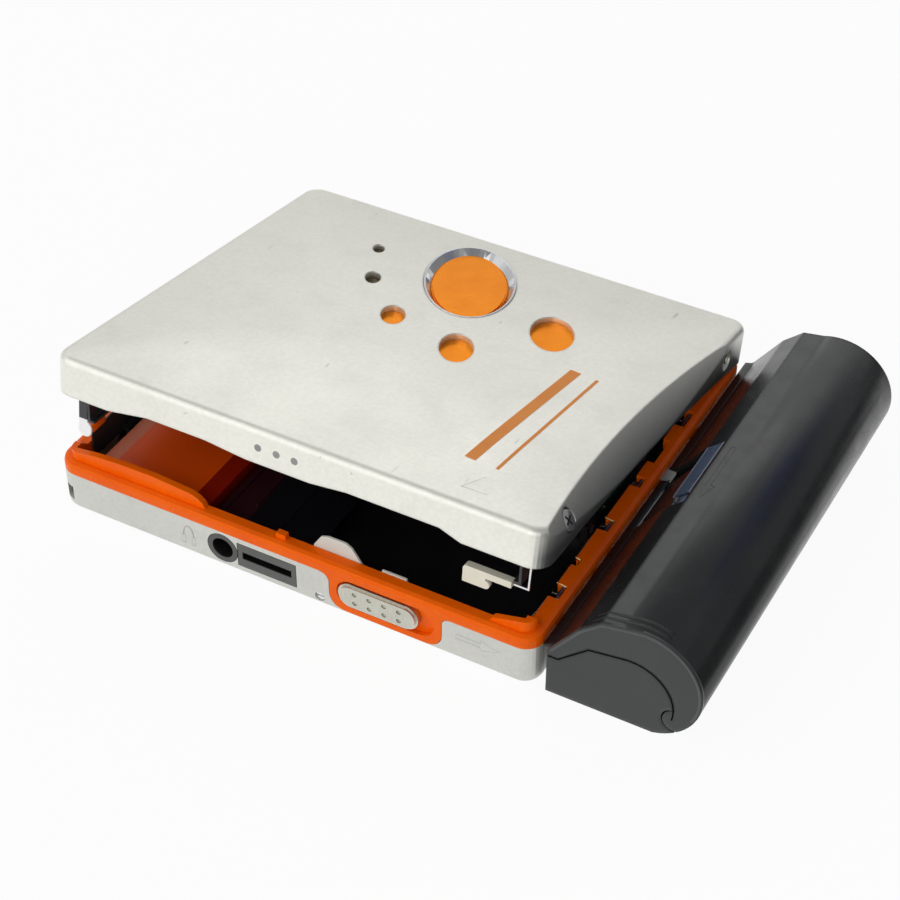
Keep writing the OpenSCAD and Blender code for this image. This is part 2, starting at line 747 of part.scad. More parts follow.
module deck_plate() {
    rail_half = rail_gap / 2;
    color(brown) difference() {
        union() {
            difference() {
                block(deck_left_x, deck_right_x, deck_front_y, deck_back_y, deck_z, deck_top);
                block(deck_left_x - through, board_nose_left - 1.8, deck_front_y - through,
                    front_y + jack_l + 0.5, deck_z - through, deck_top + through);
                rod_z(motor_r + fit, deck_z - through, deck_top + through, 0, 0);
                block(sled_in_x - 0.4, sled_in_x + sled_w + sled_travel + 0.4, -6, 6,
                    deck_z - through, deck_top + through);
                block(sled_motor_x - sled_motor_l - 0.4, rail_left_x - 0.2,
                    motor_y - sled_motor_r - 0.3, motor_y + sled_motor_r + 0.3, deck_z - through,
                    deck_top + through);
                block(gear_x - 0.4, rail_left_x - 0.2, screw_y - 3.1, motor_y, deck_z - through,
                    deck_top + through);
            }
            for (p = leg_places) rod_z(leg_r, floor_t, deck_z + fit, p[0], p[1]);
            for (x = [rail_left_x, rail_right_x - rail_block_t])
                for (y = [-rail_half, rail_half, screw_y])
                    block(x, x + rail_block_t, y - 1.5, y + 1.5, deck_z, rail_z + 1.4);
            // Cradles for the sled motor
            for (x = [sled_motor_x - sled_motor_l + 1, sled_motor_x - 3])
                block(x, x + 1, motor_y - sled_motor_r - 1, motor_y + sled_motor_r + 1, deck_z,
                    rail_z - 0.5);
        }
        for (p = leg_places) rod_z(leg_hole_r, floor_t - through, deck_z - 1, p[0], p[1]);
        for (y = [-rail_half, rail_half])
            rod_x(rail_r + 0.02, rail_left_x - through, rail_right_x + through, y, rail_z);
        rod_x(screw_core_r + run_fit, rail_left_x - through, rail_right_x + through, screw_y, rail_z);
        rod_x(sled_motor_r + 0.02, sled_motor_x - sled_motor_l - through, gear_x, motor_y, rail_z);
    }
}

module spindle_motor() {
    color(steel) difference() {
        union() {
            rod_z(motor_r, board_top + fit, deck_top + fit, 0, 0);
            rod_z(motor_flange_r, deck_top, deck_top + 0.3, 0, 0);
        }
        rod_z(shaft_r + run_fit, board_top + 0.6, deck_top + through, 0, 0);
    }
}

module turntable() {
    z0 = deck_top + 0.5;
    color(steel) difference() {
        union() {
            rod_z(shaft_r, board_top + 0.7, z0 + 1, 0, 0);
            rod_z(turntable_r, z0, z0 + 1.8, 0, 0);
            rod_z(turntable_r - 0.9, z0, z0 + 2.9, 0, 0);
            rod_z(1.9, z0, z0 + 3.8, 0, 0);
            translate([0, 0, z0 + 3.8]) cylinder(r1 = 1.9, r2 = 1.3, h = 0.5);
        }
        for (i = [0 : 2]) rotate(120 * i) rod_z(0.6, z0 + 2.4, z0 + 4, 3.1, 0);
    }
}

module guide_rails() {
    color(steel) for (s = [-1, 1])
        rod_x(rail_r, rail_left_x, rail_right_x, s * rail_gap / 2, rail_z);
}

// The lead screw: plain journals and the thread's ribs between them
module lead_screw() {
    rib_pitch = screw_lead / 3;
    thread_x0 = rail_left_x + rail_block_t + 0.2;
    thread_x1 = rail_right_x - rail_block_t - 0.2;
    color(steel) {
        rod_x(screw_core_r, gear_x - 0.2, rail_right_x, screw_y, rail_z);
        for (x = [thread_x0 : rib_pitch : thread_x1 - rib_pitch / 2])
            rod_x(screw_core_r + screw_throw, x, x + rib_pitch / 2, screw_y, rail_z);
    }
}

// A spur gear in the YZ plane, from x0 on, with a tooth or a gap pointing to +Y
module gear(teeth, x0, y, bore_r, shift) {
    pitch_r = gear_m * teeth / 2;
    tip_r = pitch_r + 0.85 * gear_m;
    root_r = pitch_r - 1.1 * gear_m;
    half_root = 180 / teeth * 0.52;
    half_tip = 180 / teeth * 0.2;
    translate([x0, y, rail_z]) rotate([90, 0, 90]) difference() {
        linear_extrude(gear_t) polygon([for (i = [0 : teeth - 1], k = [0 : 3])
            let (a = 360 * (i + shift) / teeth + [-half_root, -half_tip, half_tip, half_root][k],
                r = [root_r, tip_r, tip_r, root_r][k]) [r * cos(a), r * sin(a)]]);
        translate([0, 0, -through]) cylinder(r = bore_r, h = gear_t + 2 * through);
    }
}

module screw_gear() {
    color(cream) gear(gear_teeth, gear_x, screw_y, screw_core_r, 0);
}

module motor_pinion() {
    color(brass) gear(pinion_teeth, gear_x, motor_y, 0.4, 0.5);
    color(steel) rod_x(0.4, sled_motor_x - 0.6, gear_x + gear_t + 0.2, motor_y, rail_z);
}

module sled_motor() {
    color(steel) difference() {
        union() {
            rod_x(sled_motor_r, sled_motor_x - sled_motor_l, sled_motor_x - 0.6, motor_y, rail_z);
            rod_x(1, sled_motor_x - 1, sled_motor_x - 0.2, motor_y, rail_z);
        }
        rod_x(0.4 + run_fit, sled_motor_x - 0.8, sled_motor_x + through, motor_y, rail_z);
    }
}

module pickup_sled() {
    rail_half = rail_gap / 2;
    x1 = sled_in_x + sled_w;
    color(black) difference() {
        union() {
            block(sled_in_x, x1, -rail_half - bush_half, rail_half + bush_half, rail_z - 1.2,
                rail_z + 1.4);
            block(sled_in_x + 1, x1 - 1, -5, 5, board_top + 0.8, rail_z);
            rod_z(3.2, rail_z, rail_z + 2, sled_lens_x, 0);
            // Finger that follows the lead screw's thread
            block(sled_in_x + 2, x1 - 2, rail_half, screw_y - screw_core_r - screw_throw - 0.15,
                rail_z - 0.6, rail_z + 0.6);
        }
        for (y = [-rail_half, rail_half])
            rod_x(rail_r + run_fit, sled_in_x - through, x1 + through, y, rail_z);
        rod_z(1.7, rail_z + 1.5, rail_z + 3, sled_lens_x, 0);
    }
}

module pickup_lens() {
    color([0.5, 0.6, 0.8]) {
        rod_z(1.65, rail_z + 1.5, rail_z + 2.2, sled_lens_x, 0);
        translate([sled_lens_x, 0, rail_z + 2.2]) cylinder(r1 = 1.1, r2 = 0.6, h = 0.25);
    }
}

// Flat cell's box, contact and door

module battery_box() {
    color(rust) difference() {
        block(box_left_x, box_right_x, box_front_y, box_back_y, floor_t, box_top_z);
        block(box_in_left_x, box_in_right_x, box_front_y + 0.7, box_back_y + through,
            floor_t - through, box_top_z - box_top_t);
    }
}

module battery_contact() {
    x = (box_in_left_x + box_in_right_x) / 2;
    y = box_front_y + 0.7;
    color(brass) {
        block(x - 4, x + 4, y, y + 0.2, floor_t, box_top_z - box_top_t - 0.5);
        block(x - 1.5, x + 1.5, y + 0.2, y + 0.4, floor_t + 2, floor_t + 4.5);
    }
}

door_pin_r = 0.45;
door_barrel_r = 0.95;
door_pin_x = box_left_x + 0.75;
door_pin_y = half_d - door_barrel_r;
door_z0 = floor_t + fit;
door_z1 = case_h - fit;

module battery_door() {
    color(silver) difference() {
        union() {
            block(door_pin_x, box_right_x - 0.95, half_d - case_wall, half_d, door_z0, door_z1);
            rod_z(door_barrel_r, door_z0, door_z1, door_pin_x, door_pin_y);
            block(box_right_x - 3.5, box_right_x - 2, half_d - case_wall - 0.8, half_d - case_wall + fit,
                door_z0 + 1.5, door_z1 - 1.5);
        }
        rod_z(door_pin_r + run_fit, door_z0 - through, door_z1 + through, door_pin_x, door_pin_y);
        pill_y(5, 1.6, half_d - 0.3, half_d + through, box_right_x - 5.5, (door_z0 + door_z1) / 2);
    }
}

module door_pin() {
    color(steel) rod_z(door_pin_r, floor_t, case_h, door_pin_x, door_pin_y);
}

// Hinge

bracket_x = arm_x + arm_t + 0.2;
bracket_t = 0.5;
bracket_half = 1.7;

module hinge_brackets() {
    color(steel) both_sides() difference() {
        union() {
            block(bracket_x, bracket_x + bracket_t, hinge_y - bracket_half, hinge_y + bracket_half,
                floor_t, hinge_z);
            rod_x(bracket_half, bracket_x, bracket_x + bracket_t, hinge_y, hinge_z);
            block(bracket_x - 0.8, bracket_x + 1.6, hinge_y - bracket_half, hinge_y + bracket_half,
                floor_t, floor_t + 0.6);
        }
        rod_x(hinge_pin_r + 0.01, bracket_x - through, bracket_x + bracket_t + through, hinge_y,
            hinge_z);
    }
}

module hinge_pins() {
    color(steel) both_sides()
        rod_x(hinge_pin_r, holder_half - fit, bracket_x + bracket_t, hinge_y, hinge_z);
}

// Opening slider

module open_knob() {
    y0 = front_y - knob_proud;
    color(steel) difference() {
        union() {
            pill_y(knob_w, knob_h, y0 + 0.4, front_y + recess_depth - fit, knob_x, knob_z);
            pill_y(knob_w - 0.7, knob_h - 0.7, y0, y0 + 1, knob_x, knob_z);
            block(knob_x - stem_w / 2, knob_x + stem_w / 2, front_y, latch_y,
                knob_z - stem_h / 2, knob_z + stem_h / 2);
        }
        for (i = [-1.5 : 1.5], s = [-1, 1])
            rod_y(0.42, y0 - through, y0 + 0.3, knob_x + 2.45 * i, knob_z + 0.85 * s);
    }
}

flap_x = surround_left_x - 4;
strip_bottom_z = 3.1;
strip_top_z = 6.3;

module latch_plate() {
    x1 = half_w - 7.5;
    color(steel) difference() {
        along_y(latch_y, latch_y + latch_t) polygon([
            [flap_x, strip_bottom_z], [x1, strip_bottom_z], [x1, strip_top_z + 1.2],
            [x1 - 1.6, strip_top_z + 1.2], [x1 - 1.6, strip_top_z], [knob_x + 4, strip_top_z],
            [knob_x + 3.4, band_z + 0.2], [knob_x - 0.6, band_z + 0.2], [knob_x - 1.2, strip_top_z],
            [flap_x + 9.4, strip_top_z], [flap_x + 8.8, band_z - 1.2], [flap_x + 6.6, band_z + 2.1],
            [flap_x + 5.6, band_z + 2.7], [flap_x + 2.6, band_z + 2.7], [flap_x + 1.4, band_z + 2.2],
            [flap_x + 0.2, band_z + 0.3], [flap_x, band_z - 0.6]]);
        for (x = guide_places)
            pill_y(2 * guide_r + 2 * fit + slider_travel, 2 * guide_r + 2 * fit, latch_y - through,
                latch_y + latch_t + through, x - slider_travel / 2, knob_z);
    }
}

module latch_guides() {
    color(steel) for (x = guide_places) {
        rod_y(guide_r, front_y + recess_depth + 0.4, latch_y + latch_t + 0.2, x, knob_z);
        rod_y(2 * guide_r, latch_y + latch_t + run_fit, latch_y + latch_t + 0.55, x, knob_z);
    }
}

// Side and back controls

module side_button(i) {
    y = first_button_y + i * button_pitch;
    color(steel) {
        pill_x(button_l, button_h, -half_w - button_proud, flange_x + fit, y, button_z);
        pill_x(button_l + flange_rim, button_h + flange_rim, flange_x, flange_x + flange_t, y, button_z);
    }
}

module back_button() { side_button(0); }
module play_button() { side_button(1); }
module forward_button() { side_button(2); }
module stop_button() { side_button(3); }

module volume_rocker() {
    color(steel) difference() {
        union() {
            pill_x(rocker_l, button_h, -half_w - button_proud, rocker_pin_x - 0.4, rocker_y, button_z);
            rod_z(rocker_pin_r + 0.45, button_z - button_h / 2, button_z + button_h / 2,
                rocker_pin_x, rocker_y);
        }
        rod_z(rocker_pin_r + run_fit, 0, case_h, rocker_pin_x, rocker_y);
        for (s = [-1, 1])
            rod_x(0.35, -half_w - button_proud - through, -half_w - button_proud + 0.25,
                rocker_y + s * (rocker_l / 2 - 2), button_z);
    }
}

module rocker_pin() {
    color(steel) {
        rod_z(rocker_pin_r, floor_t, button_z + button_h / 2 + 0.5, rocker_pin_x, rocker_y);
        rod_z(rocker_pin_r + 0.4, floor_t, button_z - button_h / 2 - fit, rocker_pin_x, rocker_y);
    }
}

module switch_strip() {
    back_y = rocker_y + rocker_l / 2;
    reach = flange_x + flange_t + button_travel + run_fit;
    guard_x = -half_w + rim_left_w + fit;
    color(black) {
        block(strip_x, strip_x + strip_t, first_button_y - button_l / 2, back_y, floor_t, case_h - 0.5);
        // A guard stands on the strip and closes the gap inside the frame's left rim
        block(guard_x, guard_x + 0.3, tab_y + 3, 20, case_h - 1, band_z + 1.8);
        block(guard_x, strip_x + fit, first_button_y - button_l / 2, 20, case_h - 1, case_h - 0.5);
        for (i = [0 : 3])
            rod_x(1, reach, strip_x + fit, first_button_y + i * button_pitch, button_z);
        for (s = [-1, 1])
            rod_x(0.8, rocker_pin_x + 0.1, strip_x + fit, rocker_y + s * (rocker_l / 2 - 2), button_z);
    }
}

module hold_switch() {
    y1 = half_d - case_wall - fit;
    w = hold_w + 2 * hold_travel + 1.2;
    color(steel) difference() {
        union() {
            pill_y(hold_w, hold_h, y1 - fit, half_d + hold_proud, hold_x, hold_z);
            block(hold_x - w / 2, hold_x + w / 2, y1 - 0.5, y1, hold_z - hold_h / 2 - 0.5,
                hold_z + hold_h / 2 + 0.5);
        }
        for (i = [-1 : 1])
            block(hold_x + i - 0.15, hold_x + i + 0.15, half_d + hold_proud - 0.2,
                half_d + hold_proud + through, hold_z - 0.8, hold_z + 0.8);
    }
}

module side_terminals() {
    color(brass) for (s = [-1, 1]) {
        y = terminal_y + s * terminal_pitch / 2;
        block(half_w - case_wall - 0.5, half_w - 0.2, y - 1.5, y + 1.5, terminal_z - 1, terminal_z + 1);
        block(half_w - case_wall - 0.9, half_w - case_wall - 0.4, y - 1.2, y + 1.2, floor_t,
            terminal_z + 1);
    }
}

module screw_insert() {
    x1 = half_w - case_wall;
    color(brass) difference() {
        block(x1 - 1.8, x1, case_screw_y - 2.4, case_screw_y + 2.4, floor_t, case_h - skirt_h - fit);
        rod_x(case_screw_r + run_fit, x1 - 3, x1 + through, case_screw_y, case_screw_z);
    }
}

// Lid

edge_top_z = player_h - lid_crown;
facet_low_z = lip_z + side_arch;
facet_tilt = atan(facet_inset / (edge_top_z - facet_low_z));
facet_y = front_y + 32;
facet_chord = 36;
facet_r = (facet_chord * facet_chord + facet_inset * facet_inset) / (2 * facet_inset) / cos(facet_tilt);
arch_chord = half_d - 4;
arch_r = (arch_chord * arch_chord + side_arch * side_arch) / (2 * side_arch);

module oval(long, short) {
    steps = 48;
    rotate(window_turn) polygon([for (i = [0 : steps - 1])
        [short * cos(360 * i / steps), long * sin(360 * i / steps)]]);
}

module lid_outline() {
    fillet_steps = 3;
    crown_steps = 4;
    hull() {
        slab(player_w, player_d, corner_r, lip_z, edge_top_z - lid_edge_r, $fn = 32);
        for (i = [1 : fillet_steps]) {
            turn = 90 * i / fillet_steps;
            inset = lid_edge_r * (1 - cos(turn));
            slab(player_w - 2 * inset, player_d - 2 * inset, corner_r - inset, lip_z,
                edge_top_z - lid_edge_r + lid_edge_r * sin(turn), $fn = 32);
        }
        for (i = [1 : crown_steps]) {
            u = i / crown_steps;
            inset = lid_edge_r + u * (half_d - 8);
            slab(player_w - 2 * inset, player_d - 2 * inset, corner_r + 2 * u, lip_z,
                edge_top_z + lid_crown * (1 - (1 - u) * (1 - u)), $fn = 32);
        }
    }
}

// The right side's facet is scooped out by a wide drum leaning inwards, wider by the wall in the cavity
module facet_scoop(wall) {
    span = 100;
    translate([half_w, facet_y, facet_low_z]) rotate([0, -facet_tilt, 0])
        translate([facet_r, 0, -span]) cylinder(r = facet_r + wall, h = 2 * span, $fn = 360);
}

module lid_cavity() {
    difference() {
        slab(player_w - 2 * lid_wall, player_d - 2 * lid_wall, corner_r - lid_wall, lip_z - through,
            ceiling_z);
        facet_scoop(lid_wall);
        // Bosses for the holder's screws
        for (p = lid_screw_places) both_sides()
            rod_x(2.1, arm_x + arm_t + run_fit, half_w, p[0], p[1]);
    }
}

module lip_cut() {
    low = lip_z - 2;
    along_y(front_y - through, front_y + lid_wall + through) polygon([
        [-half_w, low], [-half_w + 10, lip_z], [-half_w + 17, lip_z + lip_wave],
        [box_right_x + 1.6, lip_z + lip_wave], [box_right_x + 8.6, lip_z + 0.45 * lip_wave],
        [surround_left_x - 3.6, lip_z + 0.45 * lip_wave], [surround_left_x + 2.4, lip_z + lip_wave],
        [surround_right_x - 1.3, lip_z + lip_wave], [surround_right_x + 2.2, lip_z], [half_w, low]]);
}

lid_screw_places = [[front_y + 8, 14.1], [half_d - 9, 13.2]];
lid_screw_r = 0.7;
lid_screw_head_r = 1.55;
lid_screw_seat = 2.1;

module lid_shell() {
    color(silver) opened() difference() {
        lid_outline();
        facet_scoop(0);
        lid_cavity();
        lip_cut();
        rod_x(arch_r, -half_w - through, half_w + through, 0, lip_z + side_arch - arch_r, $fn = 360);
        for (w = windows)
            translate([w[0], w[1], lip_z]) linear_extrude(player_h) oval(w[2], w[3]);
        translate([bezel_x, bezel_y, lip_z]) linear_extrude(player_h)
            oval(bezel_long + run_fit, bezel_short + run_fit);
        for (p = lid_screw_places) both_sides() {
            rod_x(lid_screw_r + run_fit, holder_half - through, half_w + through, p[0], p[1]);
            rod_x(lid_screw_head_r + run_fit, half_w - lid_screw_seat, half_w + through, p[0], p[1]);
        }
    }
}

module window_panel() {
    w = panel_right_x - panel_left_x;
    d = panel_back_y - panel_front_y;
    color(amber) opened() translate([(panel_left_x + panel_right_x) / 2,
        (panel_front_y + panel_back_y) / 2, 0]) slab(w, d, 3, ceiling_z - panel_t, ceiling_z);
}

module window_lens() {
    color(amber) opened() translate([bezel_x, bezel_y, ceiling_z])
        linear_extrude(player_h - lens_depth - ceiling_z)
            oval(bezel_long - bezel_slope - run_fit, bezel_short - bezel_slope - run_fit);
}

module window_bezel() {
    top = player_h + 0.05;
    color(steel) opened() translate([bezel_x, bezel_y, 0]) difference() {
        translate([0, 0, ceiling_z]) linear_extrude(top - ceiling_z) oval(bezel_long, bezel_short);
        hull() {
            translate([0, 0, ceiling_z - fit]) linear_extrude(fit)
                oval(bezel_long - bezel_slope, bezel_short - bezel_slope);
            translate([0, 0, ceiling_z + 0.2]) linear_extrude(fit)
                oval(bezel_long - bezel_slope, bezel_short - bezel_slope);
            translate([0, 0, top]) linear_extrude(fit) oval(bezel_long - 0.3, bezel_short - 0.3);
        }
    }
}

module lid_screws() {
    x0 = arm_x;
    x1 = half_w - lid_screw_seat;
    color(steel) opened() for (p = lid_screw_places) both_sides() difference() {
        union() {
            rod_x(lid_screw_r, x0, x1 + 0.1, p[0], p[1]);
            rod_x(lid_screw_head_r, x1, x1 + 0.7, p[0], p[1]);
        }
        block(x1 + 0.4, x1 + 1, p[0] - 1, p[0] + 1, p[1] - 0.17, p[1] + 0.17);
        block(x1 + 0.4, x1 + 1, p[0] - 0.17, p[0] + 0.17, p[1] - 1, p[1] + 1);
    }
}

// Side arms that carry the lid on the hinge pins, held by the lid screws
module lid_arms() {
    arm_z = lip_z + 0.7;
    color(steel) opened() both_sides() difference() {
        union() {
            along_x(arm_x, arm_x + arm_t) polygon([[tab_y + tab_t, arm_z], [hinge_y - 3, arm_z],
                [hinge_y - ear_r, hinge_z], [hinge_y + ear_r, hinge_z],
                [hinge_y + ear_r, ceiling_z - 0.8], [18, ceiling_z - 0.8], [8, arm_z + 3],
                [-18, arm_z + 3], [-25, ceiling_z - 0.4], [tab_y + tab_t, ceiling_z - 0.4]]);
            rod_x(ear_r, arm_x, arm_x + arm_t, hinge_y, hinge_z);
        }
        rod_x(hinge_pin_r + run_fit, arm_x - through, arm_x + arm_t + through, hinge_y, hinge_z);
        for (p = lid_screw_places)
            rod_x(lid_screw_r + 0.02, arm_x - through, arm_x + arm_t + through, p[0], p[1]);
    }
}

// Disc holder, a sheet sleeve on the same hinge pins that the lid's front feet lift

flange_w = 1.2;

module disc_holder() {
    z0 = holder_floor_z - sheet_t;
    z1 = holder_top_z + sheet_t;
    color(black) opened(holder_open_angle) difference() {
        union() {
            block(-holder_out, holder_out, holder_front_y, holder_back_y, holder_top_z, z1);
            both_sides() {
                block(holder_half, holder_out, holder_front_y, holder_back_y, z0, z1);
                block(holder_out - flange_w, holder_out, holder_front_y, holder_back_y, z0,
                    holder_floor_z);
                block(holder_half, holder_out, hinge_y - ear_r, holder_back_y, hinge_z, z0 + fit);
                rod_x(ear_r, holder_half, holder_out, hinge_y, hinge_z);
            }
            block(-holder_out, holder_out, holder_back_y - sheet_t, holder_back_y, z0, z1);
        }
        block(panel_left_x - holder_window_margin, panel_right_x + holder_window_margin,
            panel_front_y - holder_window_margin, holder_back_y - sheet_t - 0.1,
            holder_top_z - through, z1 + through);
        both_sides()
            rod_x(hinge_pin_r + run_fit, holder_half - through, holder_out + through, hinge_y, hinge_z);
    }
}

// How far below the holder's sheet the lid's front feet stand when the lid is shut
foot_z = hinge_z + (hinge_y - tab_y) * (sin(holder_open_angle) - sin(lid_open_angle))
    + (holder_floor_z - sheet_t - hinge_z) - 0.1;

// Bright tab at the lid's left front corner, with a round foot under the holder's edge
module front_tab_left() {
    x0 = -half_w + rim_left_w + 0.2;
    color([0.93, 0.93, 0.93]) opened() {
        upright_pill(2.4, 2.7, tab_y, tab_y + tab_t, x0 + 1.2, foot_z - 1.35);
        block(x0 + 0.1, -holder_out - 0.15, tab_y, tab_y + tab_t, foot_z - 1.4, lip_z + 2.4);
    }
}

// Thin leg at the lid's right front corner, with a flat foot under the holder's edge
module front_leg_right() {
    x1 = half_w - rim_right_w - 0.15;
    color(steel) opened() {
        block(x1 - 0.3, x1, tab_y, tab_y + tab_t, foot_z - 0.3, lip_z + 1.4);
        block(holder_out - 1.1, x1, tab_y, tab_y + tab_t, foot_z - 0.3, foot_z);
        block(arm_x, x1, tab_y, tab_y + tab_t, lip_z + 0.9, lip_z + 1.4);
    }
}

// Cream lever under the holder's right front corner, which opens the cartridge's shutter
module shutter_lever() {
    x0 = half_w - 13.4;
    z1 = holder_floor_z - sheet_t;
    color(cream) opened(holder_open_angle) {
        block(x0 + 0.6, holder_out - flange_w - slack, tab_y, tab_y + 1.2, z1 - 1.1, z1);
        rod_y(0.6, tab_y, tab_y + 1.2, x0 + 0.6, z1 - 0.6);
        block(x0, x0 + 3.6, tab_y, tab_y + 0.8, z1 - 2.9, z1 - 0.5);
        rod_y(0.7, tab_y, tab_y + 0.8, x0 + 3.6, z1 - 2.2);
    }
}

// Battery case: outlines in X and Z

module case_outline() {
    difference() {
        union() {
            translate([case_x, case_z]) circle(case_r, $fn = 96);
            polygon([[case_left_x, 0], [case_left_x, seam_z + 1], [case_left_x + 4.6, 14.2],
                [case_left_x + 7.8, 17], [case_x, case_z + case_r], [case_x, 0]]);
        }
        translate([case_left_x, -5]) square([40, 5]);
    }
}

module case_hollow() {
    t = shell_t;
    difference() {
        union() {
            translate([case_x, case_z]) circle(case_r - t, $fn = 96);
            polygon([[case_left_x + t, t], [case_left_x + t, seam_z + 0.7],
                [case_left_x + 4.6 + 0.9 * t, 14.2 - 0.6 * t], [case_left_x + 7.8 + 0.4 * t, 17 - t],
                [case_x, case_z + case_r - t], [case_x, t]]);
        }
        translate([case_left_x, -5]) square([40, 5 + t]);
    }
}

// What lies below the seam on the end faces: the base's share, grown by a gap for the cover
module end_seam(gap) {
    polygon([[case_left_x - 1, -1], [case_left_x - 1, seam_z + gap],
        [case_left_x + 1.7 + gap, seam_z + gap], [case_left_x + 6.2, seam_z + 4.1 + gap],
        [seam_x, seam_centre_z + seam_r + gap], [seam_x, -1]]);
    translate([seam_x, seam_centre_z]) circle(seam_r + gap);
    translate([seam_x, -1]) square([20, 1 + seam_low_z + gap]);
}

// What lies below the seam along the sides
module side_seam(gap) {
    polygon([[case_left_x - 1, -1], [case_left_x - 1, seam_z + gap], [case_left_x + 2, seam_z + gap],
        [cover_pin_x + 4, seam_low_z + gap], [cover_pin_x + 4, -1]]);
}

module case_base() {
    y0 = case_front_y;
    y1 = case_back_y;
    color(black) difference() {
        union() {
            along_y(y0 + end_t, y1 - end_t) difference() {
                intersection() { case_outline(); side_seam(0); }
                case_hollow();
            }
            for (y = [y0, y1 - end_t])
                along_y(y, y + end_t) intersection() { case_outline(); end_seam(0); }
            for (y = [bulkhead_front_y, bulkhead_back_y])
                along_y(y, y + end_t) bulkhead_outline();
            for (y = [-18, 0, case_screw_y - case_screw_head_r - 0.5 - end_t])
                along_y(y, y + end_t) difference() {
                    intersection() { case_outline(); translate([case_left_x, 0]) square([19, 6]); }
                    translate([cell_x, case_z]) circle(bay_r);
                }
            for (y = peg_places) rod_x(peg_r, half_w - case_wall, case_left_x + fit, y, terminal_z);
        }
        // Room for the cover's knuckles, along the whole base
        rod_y(relief_r, y0 - through, y1 + through, cover_pin_x, cover_pin_z);
        rod_x(case_screw_r + fit, half_w, case_left_x + 3, case_screw_y, case_screw_z);
        block(case_left_x + shell_t + 0.2, case_left_x + shell_t + 2.8, case_screw_y - 3.1,
            case_screw_y + 3.1, -through, shell_t + through);
        for (s = [-1, 1])
            rod_x(0.8 + run_fit, half_w, case_left_x + 3, terminal_y + s * terminal_pitch / 2,
                terminal_z);
    }
    color(black) for (y = lug_places) difference() {
        union() {
            rod_y(knuckle_r, y, y + lug_l, cover_pin_x, cover_pin_z);
            block(cover_pin_x - 2.6, cover_pin_x - 0.8, y, y + lug_l, cover_pin_z - 2.6, cover_pin_z);
        }
        rod_y(cover_pin_r + run_fit, y - through, y + lug_l + through, cover_pin_x, cover_pin_z);
    }
}

// Bulkheads stop short of the cover's inside
module bulkhead_outline() {
    intersection() {
        end_seam(0);
        translate([case_left_x, 0]) square([2 * case_r, 11.2]);
        union() {
            intersection() { case_outline(); side_seam(0); }
            translate([0.4, -0.3]) case_hollow();
        }
    }
}

module case_screw() {
    head_x = case_left_x + shell_t + 0.4;
    color(steel) difference() {
        union() {
            rod_x(case_screw_r, half_w - case_wall - 1.8, head_x + 0.1, case_screw_y, case_screw_z);
            rod_x(case_screw_head_r, head_x, head_x + 1.8, case_screw_y, case_screw_z);
        }
        for (i = [0 : 11]) translate([0, case_screw_y, case_screw_z]) rotate([30 * i, 0, 0])
            translate([0, -case_screw_y, -case_screw_z])
                rod_x(0.3, head_x - 0.5, head_x + 3, case_screw_y + case_screw_head_r, case_screw_z);
    }
}

module case_pins() {
    color(brass) for (s = [-1, 1])
        rod_x(0.8, half_w, case_left_x + shell_t + 0.6, terminal_y + s * terminal_pitch / 2, terminal_z);
}

module case_contact() {
    y = bulkhead_front_y + end_t;
    color(brass) {
        block(cell_x - 3, cell_x + 3, y, y + 0.3, shell_t + 1, case_z + 1.4);
        rod_y(1.6, y + 0.3, y + 0.8, cell_x, case_z);
    }
}

module case_leaf_spring() {
    y = bulkhead_back_y;
    color(steel) along_x(cell_x - 2.5, cell_x + 2.5) polygon([
        [y, shell_t + 0.6], [y, case_z + 1.4], [y - 0.3, case_z + 1.6], [y - 1.6, case_z - 0.4],
        [y - 1.1, case_z - 3.2], [y - 0.85, case_z - 3.1], [y - 1.3, case_z - 0.5],
        [y - 0.3, case_z + 1], [y - 0.3, shell_t + 0.6]]);
}

module cover_pin() {
    color(steel) rod_y(cover_pin_r, case_front_y + end_t + cover_travel + 0.3, case_back_y - end_t - 0.4,
        cover_pin_x, cover_pin_z);
}

module case_cover() {
    y0 = case_front_y;
    y1 = case_back_y;
    color(black) difference() {
        union() {
            along_y(y0 + end_t, y1 - end_t) difference() {
                case_outline();
                case_hollow();
                side_seam(seam_gap);
            }
            for (y = [y0, y1 - end_t]) {
                along_y(y, y + end_t) difference() { case_outline(); end_seam(seam_gap); }
                along_y(y, y + end_t) intersection() {
                    case_outline();
                    translate([cover_pin_x, cover_pin_z]) circle(relief_r - slack);
                }
            }
            rod_y(knuckle_r, y0 + end_t + 4, y1 - end_t - 1, cover_pin_x, cover_pin_z);
        }
        rod_y(cover_pin_r + run_fit, y0 + end_t, y1 - end_t, cover_pin_x, cover_pin_z);
        for (y = lug_places)
            rod_y(knuckle_r + slack, y - 0.3, y + lug_l + cover_travel + 0.3, cover_pin_x, cover_pin_z);
        // Notch over the latch, open to the cover's left edge
        block(case_left_x - 2, latch_right_x + 0.4, latch_front_y - 0.4,
            latch_back_y + cover_travel + 0.4, seam_z - 2, case_r * 2);
    }
}

module cover_latch() {
    color(slate) along_y(latch_front_y, latch_back_y) difference() {
        intersection() {
            translate([0.25, -0.3]) case_outline();
            translate([case_left_x, seam_z]) square([latch_right_x - case_left_x, 12]);
        }
        translate([0, -0.4]) case_hollow();
    }
}

